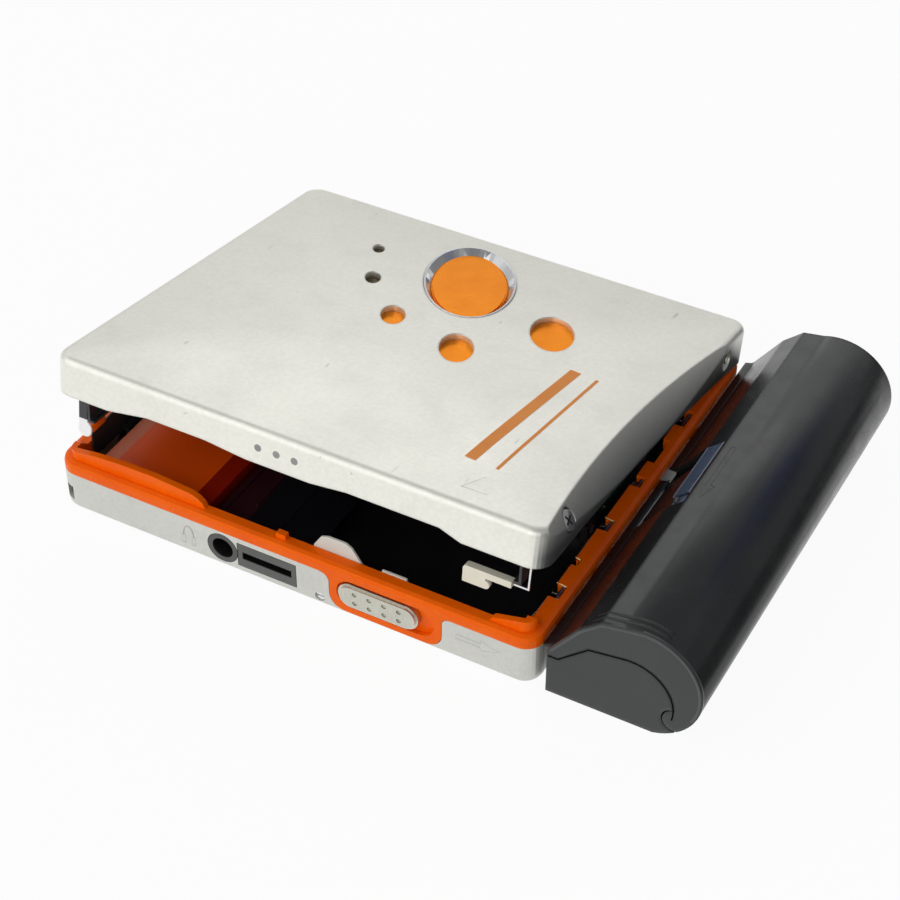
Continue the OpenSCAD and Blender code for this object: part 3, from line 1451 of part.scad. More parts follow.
lower_case();
mid_frame();
strap_post();
front_screw();
base_screws();
board_screws();
main_board();
board_components();
headphone_jack();
remote_connector();
front_shield();
flex_cable();
deck_plate();
spindle_motor();
turntable();
guide_rails();
lead_screw();
screw_gear();
sled_motor();
motor_pinion();
pickup_sled();
pickup_lens();
battery_box();
battery_contact();
battery_door();
door_pin();
hinge_brackets();
hinge_pins();
rim_springs();
open_knob();
latch_plate();
latch_guides();
play_button();
stop_button();
back_button();
forward_button();
volume_rocker();
rocker_pin();
switch_strip();
hold_switch();
side_terminals();
screw_insert();
lid_shell();
window_panel();
window_lens();
window_bezel();
lid_screws();
disc_holder();
lid_arms();
front_tab_left();
front_leg_right();
shutter_lever();
case_base();
case_screw();
case_pins();
case_contact();
case_leaf_spring();
cover_pin();
case_cover();
cover_latch();
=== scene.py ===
import math

import bmesh
import bpy
from mathutils import Matrix, Vector
from mathutils.bvhtree import BVHTree


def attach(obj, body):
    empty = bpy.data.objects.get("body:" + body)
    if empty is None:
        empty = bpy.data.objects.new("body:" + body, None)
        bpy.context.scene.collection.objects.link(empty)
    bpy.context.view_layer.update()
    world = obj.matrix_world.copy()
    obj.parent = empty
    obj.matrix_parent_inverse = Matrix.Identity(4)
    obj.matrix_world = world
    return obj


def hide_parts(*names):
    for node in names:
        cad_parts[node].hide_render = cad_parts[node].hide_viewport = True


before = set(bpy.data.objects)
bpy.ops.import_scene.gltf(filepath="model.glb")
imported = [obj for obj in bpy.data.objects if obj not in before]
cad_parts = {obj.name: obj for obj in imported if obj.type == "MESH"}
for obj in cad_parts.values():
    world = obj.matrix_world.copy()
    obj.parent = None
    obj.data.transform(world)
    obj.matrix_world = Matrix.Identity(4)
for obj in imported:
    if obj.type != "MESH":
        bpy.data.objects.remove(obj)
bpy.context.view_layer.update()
scene = bpy.context.scene
print("frame loaded:", len(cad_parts), "nodes")

mm = 0.001

# places that several pieces share, in millimetres
player = {"frontY": -37.0, "topZ": 16.9}
lidHinge = {"y": 33.0, "z": 7.0, "lidOpen": 9.64}
batteryCase = {"x": 56.5, "z": 8.9, "radius": 9.2, "frontY": -36.0}


# helpers for material nodes; sizes in millimetres

def addNode(mat, kind, inputs=None, **settings):
    node = mat.node_tree.nodes.new(kind)
    for key, value in settings.items():
        setattr(node, key, value)
    for key, value in (inputs or {}).items():
        if isinstance(value, bpy.types.NodeSocket):
            mat.node_tree.links.new(value, node.inputs[key])
        else:
            node.inputs[key].default_value = value
    return node


def newFinish(name, metallic=0.0, coat=0.0, coatRoughness=0.1, specular=0.5):
    mat = bpy.data.materials.new(name)
    mat.use_nodes = True
    shader = mat.node_tree.nodes["Principled BSDF"]
    shader.inputs["Metallic"].default_value = metallic
    shader.inputs["Coat Weight"].default_value = coat
    shader.inputs["Coat Roughness"].default_value = coatRoughness
    shader.inputs["Specular IOR Level"].default_value = specular
    place = addNode(mat, "ShaderNodeTexCoord").outputs["Object"]
    return mat, shader, place


def noise(mat, place, size, detail=3.0, stretch=None):
    # size is the width of one blotch in millimetres
    if stretch:
        place = addNode(mat, "ShaderNodeMapping", {"Vector": place, "Scale": stretch}).outputs["Vector"]
    return addNode(mat, "ShaderNodeTexNoise", {"Vector": place, "Scale": 1.0 / (size * mm),
                                               "Detail": detail, "Roughness": 0.55}).outputs["Fac"]


def remap(mat, value, fromLow, fromHigh, toLow, toHigh):
    return addNode(mat, "ShaderNodeMapRange", {"Value": value, "From Min": fromLow, "From Max": fromHigh,
                                               "To Min": toLow, "To Max": toHigh}).outputs["Result"]


def mixTones(mat, factor, toneA, toneB):
    node = addNode(mat, "ShaderNodeMix", data_type="RGBA")
    for socket, value in zip((node.inputs[0], node.inputs[6], node.inputs[7]), (factor, toneA, toneB)):
        if isinstance(value, bpy.types.NodeSocket):
            mat.node_tree.links.new(value, socket)
        elif isinstance(value, float):
            socket.default_value = value
        else:
            socket.default_value = (*value, 1.0)
    return node.outputs[2]


def mixLevels(mat, factor, a, b):
    return addNode(mat, "ShaderNodeMix", {0: factor, 2: a, 3: b}, data_type="FLOAT").outputs[0]


def multiply(mat, a, b):
    return addNode(mat, "ShaderNodeMath", {0: a, 1: b}, operation="MULTIPLY").outputs[0]


def dotProduct(mat, a, b):
    return addNode(mat, "ShaderNodeVectorMath", {0: a, 1: b}, operation="DOT_PRODUCT").outputs["Value"]


def axisOf(mat, place, axis):
    return addNode(mat, "ShaderNodeSeparateXYZ", {"Vector": place}).outputs[axis]


def edgeMask(mat, width):
    # 1 along outer and inner edges, 0 on flat parts
    rounded = addNode(mat, "ShaderNodeBevel", {"Radius": width * mm}, samples=4).outputs["Normal"]
    flat = addNode(mat, "ShaderNodeNewGeometry").outputs["Normal"]
    same = dotProduct(mat, rounded, flat)
    return remap(mat, same, 0.985, 0.86, 0.0, 1.0)


def scuffs(mat, place, size, share, turn):
    # short thin marks that lie roughly one way
    turned = addNode(mat, "ShaderNodeMapping", {"Vector": place, "Rotation": (0.0, 0.0, turn),
                                                "Scale": (1.0, 0.06, 1.0)}).outputs["Vector"]
    streak = remap(mat, noise(mat, turned, size, 2.0), 0.68, 0.72, 0.0, 1.0)
    where = remap(mat, noise(mat, place, 14.0, 1.0), 0.62 - share, 0.66 - share, 0.0, 1.0)
    return multiply(mat, streak, where)


def link(mat, output, shader, name):
    mat.node_tree.links.new(output, shader.inputs[name])


def addBump(mat, shader, height, depth, edge=0.0):
    # depth in millimetres; edge is a rounding that only the shading shows
    inputs = {"Height": height, "Distance": depth * mm, "Strength": 1.0}
    if edge:
        inputs["Normal"] = addNode(mat, "ShaderNodeBevel", {"Radius": edge * mm}, samples=4).outputs["Normal"]
    link(mat, addNode(mat, "ShaderNodeBump", inputs).outputs["Normal"], shader, "Normal")


# painted shade: the lid's right facet darkens from its top edge to its foot; heights in millimetres with the
# lid shut
facetShade = {"topZ": 16.4, "footZ": 11.6, "topShare": 0.08, "footShare": 0.85}


def facetPaintedShade(mat, place):
    # the share of painted shade on the lid's right facet, 0 on every other face
    lean = math.radians(lidHinge["lidOpen"])
    height = dotProduct(mat, place, (0.0, math.sin(lean), math.cos(lean)))
    shut = (lidHinge["z"] - lidHinge["y"] * math.sin(lean) - lidHinge["z"] * math.cos(lean)) * mm
    low = remap(mat, height, facetShade["topZ"] * mm - shut, facetShade["footZ"] * mm - shut,
                facetShade["topShare"], facetShade["footShare"])
    facing = axisOf(mat, addNode(mat, "ShaderNodeNewGeometry").outputs["Normal"], "X")
    return multiply(mat, low, remap(mat, facing, 0.35, 0.7, 0.0, 1.0))


# finishes of the mouldings, the paint and the metals

def satinPaint(name, look):
    mat, shader, place = newFinish(name, metallic=look["metal"], specular=0.5)
    cloud = noise(mat, place, 22.0, 4.0)
    tone = mixTones(mat, remap(mat, cloud, 0.3, 0.7, 0.0, 1.0), look["tone"], look["toneB"])
    flake = noise(mat, place, 0.12, 1.0)
    tone = mixTones(mat, remap(mat, flake, 0.3, 0.7, 0.0, 0.22), tone, look["flake"])
    mottle = noise(mat, place, 0.7, 4.0)
    tone = mixTones(mat, remap(mat, mottle, 0.35, 0.65, 0.0, 0.16), tone, look["grimeTone"])
    grime = multiply(mat, remap(mat, noise(mat, place, 6.0, 5.0), 0.52, 0.72, 0.0, 1.0), look["grime"])
    tone = mixTones(mat, grime, tone, look["grimeTone"])
    marks = multiply(mat, scuffs(mat, place, 1.6, look["marks"], 0.5), 0.5)
    tone = mixTones(mat, marks, tone, look["markTone"])
    worn = multiply(mat, edgeMask(mat, 0.35), remap(mat, noise(mat, place, 2.5, 3.0), 0.45, 0.7, 0.0, 0.5))
    tone = mixTones(mat, worn, tone, look["edgeTone"])
    # painted shade on the lid's right facet, darkest at its foot
    if look.get("facet"):
        tone = mixTones(mat, facetPaintedShade(mat, place), tone, look["facet"])
    link(mat, tone, shader, "Base Color")
    rough = remap(mat, cloud, 0.3, 0.7, look["rough"] - 0.04, look["rough"] + 0.05)
    link(mat, rough, shader, "Roughness")
    addBump(mat, shader, flake, look["grain"], look.get("edge", 0.0))
    return mat


def mouldedPlastic(name, look):
    mat, shader, place = newFinish(name, coat=look.get("coat", 0.0), specular=look.get("specular", 0.5),
                                   coatRoughness=look.get("coatRough", 0.15))
    cloud = noise(mat, place, look.get("patch", 9.0), 3.0)
    tone = mixTones(mat, remap(mat, cloud, 0.35, 0.65, 0.0, 1.0), look["tone"], look["toneB"])
    dust = remap(mat, noise(mat, place, 0.5, 6.0), 0.66, 0.76, 0.0, look.get("dust", 0.15))
    tone = mixTones(mat, dust, tone, look.get("dustTone", (0.5, 0.48, 0.45)))
    worn = multiply(mat, edgeMask(mat, 0.3), remap(mat, noise(mat, place, 1.8, 3.0), 0.42, 0.7, 0.1, 0.6))
    tone = mixTones(mat, worn, tone, look["edgeTone"])
    link(mat, tone, shader, "Base Color")
    link(mat, remap(mat, noise(mat, place, 3.5, 4.0), 0.3, 0.7, look["rough"] - 0.05, look["rough"] + 0.06),
         shader, "Roughness")
    if look.get("soft"):
        shader.inputs["Subsurface Weight"].default_value = look["soft"]
        shader.inputs["Subsurface Scale"].default_value = 0.6 * mm
        shader.inputs["Subsurface Radius"].default_value = look["softRadius"]
    addBump(mat, shader, noise(mat, place, look.get("grainSize", 0.14), 2.0), look.get("grain", 0.004),
            look.get("edge", 0.0))
    return mat


def workedMetal(name, look):
    mat, shader, place = newFinish(name, metallic=1.0)
    streak = noise(mat, place, 0.25, 3.0, look.get("stretch", (0.06, 1.0, 1.0)))
    tone = mixTones(mat, remap(mat, streak, 0.3, 0.7, 0.0, 1.0), look["tone"], look["toneB"])
    stain = remap(mat, noise(mat, place, 4.0, 5.0), 0.5, 0.75, 0.0, look.get("stain", 0.35))
    tone = mixTones(mat, stain, tone, look["stainTone"])
    worn = multiply(mat, edgeMask(mat, 0.2), 0.5)
    tone = mixTones(mat, worn, tone, look["edgeTone"])
    link(mat, tone, shader, "Base Color")
    link(mat, remap(mat, streak, 0.25, 0.75, look["rough"] - 0.05, look["rough"] + 0.07), shader, "Roughness")
    addBump(mat, shader, streak, look.get("grain", 0.003))
    return mat


# the facet tone is the colour of the painted shade at the foot of the lid's right facet
lidSilver = satinPaint("lid_silver_paint", {
    "tone": (0.87, 0.862, 0.780), "toneB": (0.83, 0.823, 0.745), "flake": (0.93, 0.93, 0.88), "metal": 0.75,
    "rough": 0.33, "grain": 0.003, "grime": 0.14, "grimeTone": (0.55, 0.54, 0.50), "marks": 0.07,
    "markTone": (0.40, 0.40, 0.40), "edgeTone": (0.92, 0.92, 0.90), "facet": (0.09, 0.095, 0.11),
    "edge": 0.5})
caseSilver = satinPaint("case_silver_paint", {
    "tone": (0.64, 0.645, 0.60), "toneB": (0.59, 0.595, 0.55), "flake": (0.82, 0.82, 0.78), "metal": 0.45,
    "rough": 0.40, "grain": 0.003, "grime": 0.2, "grimeTone": (0.42, 0.41, 0.38), "marks": 0.02,
    "markTone": (0.35, 0.35, 0.35), "edgeTone": (0.85, 0.85, 0.83)})
frameOrange = mouldedPlastic("frame_orange", {
    "tone": (0.95, 0.140, 0.0005), "toneB": (0.90, 0.118, 0.0005), "edgeTone": (0.97, 0.22, 0.008),
    "rough": 0.26, "dust": 0.06, "dustTone": (0.9, 0.45, 0.2), "soft": 0.1, "softRadius": (1.0, 0.3, 0.05),
    "grain": 0.003, "specular": 0.12})
caseBlack = mouldedPlastic("battery_case_black", {
    "tone": (0.020, 0.022, 0.022), "toneB": (0.014, 0.016, 0.017), "edgeTone": (0.05, 0.052, 0.05),
    "rough": 0.24, "dust": 0.04, "dustTone": (0.12, 0.12, 0.12), "grain": 0.0004, "grainSize": 0.4,
    "patch": 16.0, "edge": 0.9})
innerBlack = mouldedPlastic("inner_black", {
    "tone": (0.012, 0.013, 0.017), "toneB": (0.007, 0.008, 0.012), "edgeTone": (0.05, 0.05, 0.055),
    "rough": 0.42, "dust": 0.2, "dustTone": (0.15, 0.14, 0.13)})
componentBlack = mouldedPlastic("component_black", {
    "tone": (0.028, 0.028, 0.030), "toneB": (0.018, 0.018, 0.020), "edgeTone": (0.10, 0.10, 0.10),
    "rough": 0.5, "dust": 0.25})
holderBlack = satinPaint("holder_black_paint", {
    "tone": (0.022, 0.022, 0.025), "toneB": (0.014, 0.014, 0.017), "flake": (0.05, 0.05, 0.055), "metal": 0.1,
    "rough": 0.45, "grain": 0.003, "grime": 0.3, "grimeTone": (0.06, 0.05, 0.045), "marks": 0.08,
    "markTone": (0.22, 0.22, 0.22), "edgeTone": (0.30, 0.30, 0.30)})
flapCream = mouldedPlastic("latch_flap_cream", {
    "tone": (0.74, 0.73, 0.66), "toneB": (0.66, 0.65, 0.58), "edgeTone": (0.86, 0.85, 0.80), "rough": 0.5,
    "specular": 0.12, "dust": 0.1, "dustTone": (0.6, 0.58, 0.52)})
creamPlastic = mouldedPlastic("lever_cream", {
    "tone": (0.80, 0.77, 0.64), "toneB": (0.72, 0.68, 0.54), "edgeTone": (0.9, 0.88, 0.8), "rough": 0.42,
    "soft": 0.1, "softRadius": (0.6, 0.5, 0.3)})
steel = workedMetal("pressed_steel", {
    "tone": (0.62, 0.62, 0.62), "toneB": (0.52, 0.52, 0.53), "stainTone": (0.36, 0.34, 0.32),
    "edgeTone": (0.82, 0.82, 0.82), "rough": 0.28})
brightSteel = workedMetal("plated_screws", {
    "tone": (0.78, 0.78, 0.78), "toneB": (0.68, 0.68, 0.69), "stainTone": (0.45, 0.43, 0.42), "stain": 0.2,
    "edgeTone": (0.92, 0.92, 0.92), "rough": 0.16, "grain": 0.0015})
knobSilver = workedMetal("knob_satin_metal", {
    "tone": (0.58, 0.575, 0.50), "toneB": (0.50, 0.495, 0.43), "stainTone": (0.40, 0.38, 0.34), "stain": 0.25,
    "edgeTone": (0.92, 0.92, 0.90), "rough": 0.34, "stretch": (1.0, 1.0, 0.08), "grain": 0.003})
brass = workedMetal("contact_brass", {
    "tone": (0.76, 0.60, 0.30), "toneB": (0.66, 0.50, 0.24), "stainTone": (0.35, 0.24, 0.12),
    "edgeTone": (0.90, 0.78, 0.50), "rough": 0.24})
chrome = workedMetal("chrome_ring", {
    "tone": (0.72, 0.73, 0.74), "toneB": (0.64, 0.65, 0.67), "stainTone": (0.50, 0.50, 0.50), "stain": 0.15,
    "edgeTone": (0.9, 0.9, 0.9), "rough": 0.10, "stretch": (1.0, 1.0, 1.0), "grain": 0.001})
print("general finishes made")


def amberWindow(name, look):
    # tinted plastic that glows like metal foil, with painted shade darkening it towards the left
    mat, shader, place = newFinish(name, metallic=look["metal"], specular=look["specular"])
    cloud = noise(mat, place, 5.0, 3.0)
    tone = mixTones(mat, remap(mat, cloud, 0.35, 0.65, 0.0, 1.0), look["tone"], look["toneB"])
    # painted shade: the small windows on the left darken as if shaded by their hole walls
    left = remap(mat, axisOf(mat, place, "X"), -9.0 * mm, -14.0 * mm, 0.0, 1.0)
    tone = mixTones(mat, left, tone, look["leftShadeTone"])
    speck = remap(mat, noise(mat, place, 0.4, 6.0), 0.66, 0.74, 0.0, 0.25)
    tone = mixTones(mat, speck, tone, look["speckTone"])
    link(mat, tone, shader, "Base Color")
    link(mat, remap(mat, cloud, 0.3, 0.7, look["rough"] - 0.04, look["rough"] + 0.05), shader, "Roughness")
    addBump(mat, shader, noise(mat, place, 1.5, 2.0), look["ripple"])
    return mat


def zonedPlastic(name, look):
    # one moulding with bands of colour along an axis: stops in millimetres, soft over a tenth
    mat, shader, place = newFinish(name, specular=look.get("specular", 0.5))
    cloud = noise(mat, place, look.get("patch", 5.0), 4.0)
    along = axisOf(mat, place, look["axis"])
    tone = mixTones(mat, remap(mat, cloud, 0.35, 0.65, 0.0, 0.6), look["tones"][0], look["shade"])
    for stop, after in zip(look["stops"], look["tones"][1:]):
        past = remap(mat, along, (stop - 0.05) * mm, (stop + 0.05) * mm, 0.0, 1.0)
        tone = mixTones(mat, past, tone, after)
    speck = remap(mat, noise(mat, place, 0.5, 6.0), 0.64, 0.74, 0.0, 0.3)
    tone = mixTones(mat, speck, tone, look["speckTone"])
    link(mat, tone, shader, "Base Color")
    link(mat, remap(mat, cloud, 0.3, 0.7, look["rough"] - 0.06, look["rough"] + 0.08), shader, "Roughness")
    addBump(mat, shader, noise(mat, place, 0.3, 3.0), 0.006)
    return mat


def circuitBoard(name, look):
    mat, shader, place = newFinish(name, coat=0.3, coatRoughness=0.2)
    lanes = addNode(mat, "ShaderNodeTexVoronoi", {"Vector": place, "Scale": 1.0 / (1.4 * mm)},
                    distance="MANHATTAN", feature="DISTANCE_TO_EDGE").outputs["Distance"]
    tone = mixTones(mat, remap(mat, lanes, 0.04, 0.07, 1.0, 0.0), look["tone"], look["laneTone"])
    dots = addNode(mat, "ShaderNodeTexVoronoi", {"Vector": place, "Scale": 1.0 / (2.6 * mm)},
                   feature="F1").outputs["Distance"]
    tone = mixTones(mat, remap(mat, dots, 0.10, 0.12, 1.0, 0.0), tone, look["solderTone"])
    link(mat, tone, shader, "Base Color")
    link(mat, remap(mat, noise(mat, place, 2.0, 4.0), 0.3, 0.7, 0.3, 0.5), shader, "Roughness")
    addBump(mat, shader, lanes, 0.02)
    return mat


amberLens = amberWindow("amber_window", {
    "tone": (1.0, 0.300, 0.0), "toneB": (0.92, 0.260, 0.0), "leftShadeTone": (0.10, 0.075, 0.04),
    "speckTone": (0.45, 0.12, 0.0), "metal": 0.9, "specular": 0.0, "rough": 0.28, "ripple": 0.01})
tabWhite = zonedPlastic("tab_white", {
    "axis": "Z", "stops": [16.0], "tones": [(0.95, 0.95, 0.95), (0.03, 0.03, 0.035)],
    "shade": (0.90, 0.90, 0.90), "speckTone": (0.80, 0.80, 0.80), "rough": 0.25})
# painted highlight and sheen on black plastic: pale bands along both edges and a slate-blue band between them
latchPaintedSheen = zonedPlastic("latch_painted_sheen", {
    "axis": "Z", "stops": [14.15, 14.4, 16.25, 16.45], "tones": [
        (0.016, 0.017, 0.019), (0.24, 0.27, 0.34), (0.075, 0.10, 0.16), (0.30, 0.33, 0.40),
        (0.020, 0.022, 0.026)],
    "shade": (0.012, 0.013, 0.016), "speckTone": (0.12, 0.14, 0.18), "rough": 0.28})
boardGreen = circuitBoard("board_green", {
    "tone": (0.010, 0.060, 0.030), "laneTone": (0.03, 0.15, 0.07), "solderTone": (0.55, 0.54, 0.50)})
deckBrown = zonedPlastic("deck_brown", {
    "axis": "Z", "stops": [5.35], "tones": [(0.006, 0.005, 0.007), (0.010, 0.006, 0.008)],
    "shade": (0.004, 0.004, 0.006), "speckTone": (0.06, 0.045, 0.04), "rough": 0.4})
shieldMaroon = zonedPlastic("shield_maroon", {
    "axis": "X", "stops": [-9.2], "tones": [(0.032, 0.006, 0.009), (0.005, 0.005, 0.008)],
    "shade": (0.018, 0.004, 0.007), "speckTone": (0.03, 0.012, 0.014), "rough": 0.35, "specular": 0.3})
# the last band, past x -18.7, is dark red as painted shade
boxRustShaded = zonedPlastic("box_rust", {
    "axis": "X", "stops": [-33.6, -18.7], "tones": [(0.75, 0.19, 0.09), (0.85, 0.085, 0.001),
                                                     (0.30, 0.010, 0.001)],
    "shade": (0.60, 0.13, 0.05), "speckTone": (0.55, 0.14, 0.04), "rough": 0.3, "patch": 8.0,
    "specular": 0.2})
flexRust = zonedPlastic("flex_rust", {
    "axis": "X", "stops": [-9.6, -9.0], "tones": [(0.026, 0.006, 0.007), (0.10, 0.05, 0.03),
                                                  (0.006, 0.005, 0.007)],
    "shade": (0.018, 0.005, 0.007), "speckTone": (0.05, 0.02, 0.015), "rough": 0.4, "specular": 0.25})
jackGrey = zonedPlastic("jack_ring_grey", {
    "axis": "Y", "stops": [-36.85], "tones": [(0.060, 0.060, 0.058), (0.004, 0.004, 0.005)],
    "shade": (0.045, 0.045, 0.044), "speckTone": (0.10, 0.10, 0.10), "rough": 0.32})
portGrey = zonedPlastic("port_frame_grey", {
    "axis": "Y", "stops": [-36.85, -36.3], "tones": [(0.085, 0.085, 0.080), (0.005, 0.005, 0.006),
                                                     (0.008, 0.008, 0.009)],
    "shade": (0.065, 0.065, 0.062), "speckTone": (0.12, 0.12, 0.12), "rough": 0.35})
lensGlass = mouldedPlastic("pickup_lens_glass", {
    "tone": (0.03, 0.05, 0.12), "toneB": (0.05, 0.03, 0.12), "edgeTone": (0.3, 0.35, 0.5), "rough": 0.08,
    "coat": 1.0, "coatRough": 0.03, "dust": 0.05, "grain": 0.0005})
print("special finishes made")

# finish and edge softening in millimetres for every solid
dressing = {
    "lower_case": (caseSilver, 0.18), "mid_frame": (frameOrange, 0.2), "lid_shell": (lidSilver, 0.0),
    "window_panel": (amberLens, 0.0), "window_lens": (amberLens, 0.0), "window_bezel": (chrome, 0.1),
    "case_base": (caseBlack, 0.12), "case_cover": (caseBlack, 0.15), "cover_latch": (latchPaintedSheen, 0.2),
    "open_knob": (knobSilver, 0.12), "latch_plate": (flapCream, 0.08), "latch_guides": (brightSteel, 0.05),
    "front_screw": (brightSteel, 0.08), "lid_screws": (brightSteel, 0.12), "base_screws": (brightSteel, 0.08),
    "board_screws": (brightSteel, 0.05), "lid_arms": (steel, 0.05), "strap_post": (steel, 0.05),
    "disc_holder": (holderBlack, 0.06), "front_tab_left": (tabWhite, 0.12),
    "front_leg_right": (brightSteel, 0.05), "shutter_lever": (creamPlastic, 0.12),
    "battery_box": (boxRustShaded, 0.1), "battery_contact": (brass, 0.04), "battery_door": (caseSilver, 0.15),
    "door_pin": (steel, 0.05), "front_shield": (shieldMaroon, 0.04), "flex_cable": (flexRust, 0.0),
    "headphone_jack": (jackGrey, 0.08), "remote_connector": (portGrey, 0.06), "main_board": (boardGreen, 0.0),
    "board_components": (componentBlack, 0.05), "deck_plate": (deckBrown, 0.05),
    "spindle_motor": (steel, 0.1), "turntable": (steel, 0.12), "guide_rails": (brightSteel, 0.06),
    "lead_screw": (brightSteel, 0.0), "screw_gear": (creamPlastic, 0.03), "sled_motor": (steel, 0.1),
    "motor_pinion": (brass, 0.03), "pickup_sled": (componentBlack, 0.12), "pickup_lens": (lensGlass, 0.08),
    "hinge_brackets": (steel, 0.06), "hinge_pins": (brightSteel, 0.1), "rim_springs": (brightSteel, 0.04),
    "play_button": (knobSilver, 0.2), "stop_button": (knobSilver, 0.2), "back_button": (knobSilver, 0.2),
    "forward_button": (knobSilver, 0.2), "volume_rocker": (knobSilver, 0.2), "rocker_pin": (steel, 0.04),
    "switch_strip": (componentBlack, 0.05), "hold_switch": (innerBlack, 0.1), "side_terminals": (brass, 0.05),
    "screw_insert": (brass, 0.05), "case_screw": (innerBlack, 0.15), "case_pins": (brass, 0.1),
    "case_contact": (brass, 0.05), "case_leaf_spring": (steel, 0.05), "cover_pin": (steel, 0.1)}


# solids with broad curved faces, or with a face that the merge closes over, keep all their facets
curved = {"case_base", "case_cover", "cover_latch", "lower_case", "mid_frame", "window_bezel", "open_knob",
          "headphone_jack", "spindle_motor", "sled_motor", "turntable", "lid_screws", "front_screw",
          "disc_holder", "play_button"}


def softenEdges(solid, width):
    weld = solid.modifiers.new("weld", "WELD")
    weld.merge_threshold = 0.001 * mm
    if solid.name not in curved:
        flat = solid.modifiers.new("flat faces", "DECIMATE")
        flat.decimate_type = "DISSOLVE"
        flat.angle_limit = math.radians(0.5)
        flat.delimit = {"NORMAL"}
    edge = solid.modifiers.new("soft edges", "BEVEL")
    edge.width = width * mm
    edge.segments = 2
    edge.limit_method = "ANGLE"
    edge.angle_limit = math.radians(38)
    edge.use_clamp_overlap = True
    edge.harden_normals = True


for name, (finish, width) in dressing.items():
    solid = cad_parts[name]
    solid.data.materials.clear()
    solid.data.materials.append(finish)
    if width:
        softenEdges(solid, width)
print("solids dressed:", len(dressing))


# pieces are drawn in millimetres, the lid's as if it were shut

def place(bm, matrix):
    bmesh.ops.transform(bm, matrix=matrix, verts=bm.verts)


def openUp(bm, angle):
    pivot = Vector((0.0, lidHinge["y"], lidHinge["z"]))
    bmesh.ops.rotate(bm, cent=pivot, matrix=Matrix.Rotation(math.radians(-angle), 3, "X"), verts=bm.verts)


def finishPiece(name, bm, finish, body, smooth=40):
    bmesh.ops.recalc_face_normals(bm, faces=bm.faces)
    bmesh.ops.scale(bm, vec=(mm, mm, mm), verts=bm.verts)
    mesh = bpy.data.meshes.new(name)
    bm.to_mesh(mesh)
    bm.free()
    mesh.shade_smooth()
    mesh.set_sharp_from_angle(angle=math.radians(smooth))
    mesh.materials.append(finish)
    piece = bpy.data.objects.new(name, mesh)
    scene.collection.objects.link(piece)
    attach(piece, body)
    return piece


def surfaceOf(node):
    # a search tree of a solid, to lay thin marks on it
    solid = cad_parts[node]
    points = [v.co / mm for v in solid.data.vertices]
    faces = [tuple(p.vertices) for p in solid.data.polygons]
    return BVHTree.FromPolygons(points, faces)


def layOn(bm, tree, down, lift, above=4.0, reach=12.0):
    # every vertex drops along a direction until it meets the solid, less the lift
    down = Vector(down).normalized()
    for v in bm.verts:
        met = tree.ray_cast(v.co - down * above, down, reach)[0]
        if met:
            v.co = met - down * lift


def raiseUp(bm, up, depth, faces=None):
    # a sheet becomes a closed plate
    made = bmesh.ops.extrude_face_region(bm, geom=faces or bm.faces[:])["geom"]
    top = [v for v in made if isinstance(v, bmesh.types.BMVert)]
    bmesh.ops.translate(bm, vec=Vector(up) * depth, verts=top)
    return top


def addBar(bm, outline, start, stop):
    # a straight bar along Y with the outline (x, z) as its section
    face = bm.faces.new([bm.verts.new((x, start, z)) for x, z in outline])
    raiseUp(bm, (0.0, 1.0, 0.0), stop - start, [face])


def arcPoints(centre, reach, start, stop, steps):
    # points (x, z) on an ellipse, from one angle in degrees to another
    turns = [math.radians(start + (stop - start) * i / steps) for i in range(steps + 1)]
    return [(centre[0] + reach[0] * math.cos(turn), centre[1] + reach[1] * math.sin(turn)) for turn in turns]


def wirePiece(name, points, radius, finish, body):
    # bent round wire through points in millimetres
    curve = bpy.data.curves.new(name, "CURVE")
    curve.dimensions = "3D"
    curve.bevel_depth = radius
    curve.bevel_resolution = 3
    curve.use_fill_caps = True
    spline = curve.splines.new("POLY")
    spline.points.add(len(points) - 1)
    for point, co in zip(spline.points, points):
        point.co = (*co, 1.0)
    holder = bpy.data.objects.new(name + "_curve", curve)
    scene.collection.objects.link(holder)
    mesh = bpy.data.meshes.new_from_object(holder.evaluated_get(bpy.context.evaluated_depsgraph_get()))
    bpy.data.objects.remove(holder)
    bm = bmesh.new()
    bm.from_mesh(mesh)
    bmesh.ops.remove_doubles(bm, verts=bm.verts, dist=0.0005)
    finishPiece(name, bm, finish, body)


lidUp = Vector((0.0, 0.0, 1.0))
lidUp.rotate(Matrix.Rotation(math.radians(-lidHinge["lidOpen"]), 3, "X"))
lidTree = surfaceOf("lid_shell")
coverTree = surfaceOf("case_cover")

greyPrint = mouldedPlastic("mark_print_grey", {
    "tone": (0.24, 0.24, 0.235), "toneB": (0.30, 0.30, 0.29), "edgeTone": (0.38, 0.38, 0.37), "rough": 0.4,
    "dust": 0.25, "dustTone": (0.6, 0.6, 0.58)})
paleMark = mouldedPlastic("mark_pressed_pale", {
    "tone": (0.50, 0.50, 0.47), "toneB": (0.44, 0.44, 0.42), "edgeTone": (0.6, 0.6, 0.58), "rough": 0.4,
    "dust": 0.2, "dustTone": (0.7, 0.7, 0.66)})
gapBlack = mouldedPlastic("seam_shadow", {
    "tone": (0.0015, 0.0015, 0.0015), "toneB": (0.001, 0.001, 0.001), "edgeTone": (0.002, 0.002, 0.002),
    "rough": 0.8, "specular": 0.05, "dust": 0.0})
ringBlackHighlit = mouldedPlastic("cover_ring_black_painted_highlight", {
    "tone": (0.060, 0.063, 0.062), "toneB": (0.045, 0.048, 0.048), "edgeTone": (0.10, 0.10, 0.10),
    "rough": 0.2, "dust": 0.05, "grain": 0.001})
markSheenGrey = mouldedPlastic("mark_on_black_painted_sheen", {
    "tone": (0.11, 0.11, 0.11), "toneB": (0.08, 0.08, 0.08), "edgeTone": (0.2, 0.2, 0.2), "rough": 0.35})
stripePrint = mouldedPlastic("stripe_print", {
    "tone": (0.95, 0.34, 0.06), "toneB": (0.90, 0.30, 0.05), "edgeTone": (0.9, 0.4, 0.12), "rough": 0.4,
    "dust": 0.2, "dustTone": (0.75, 0.6, 0.45), "specular": 0.2})

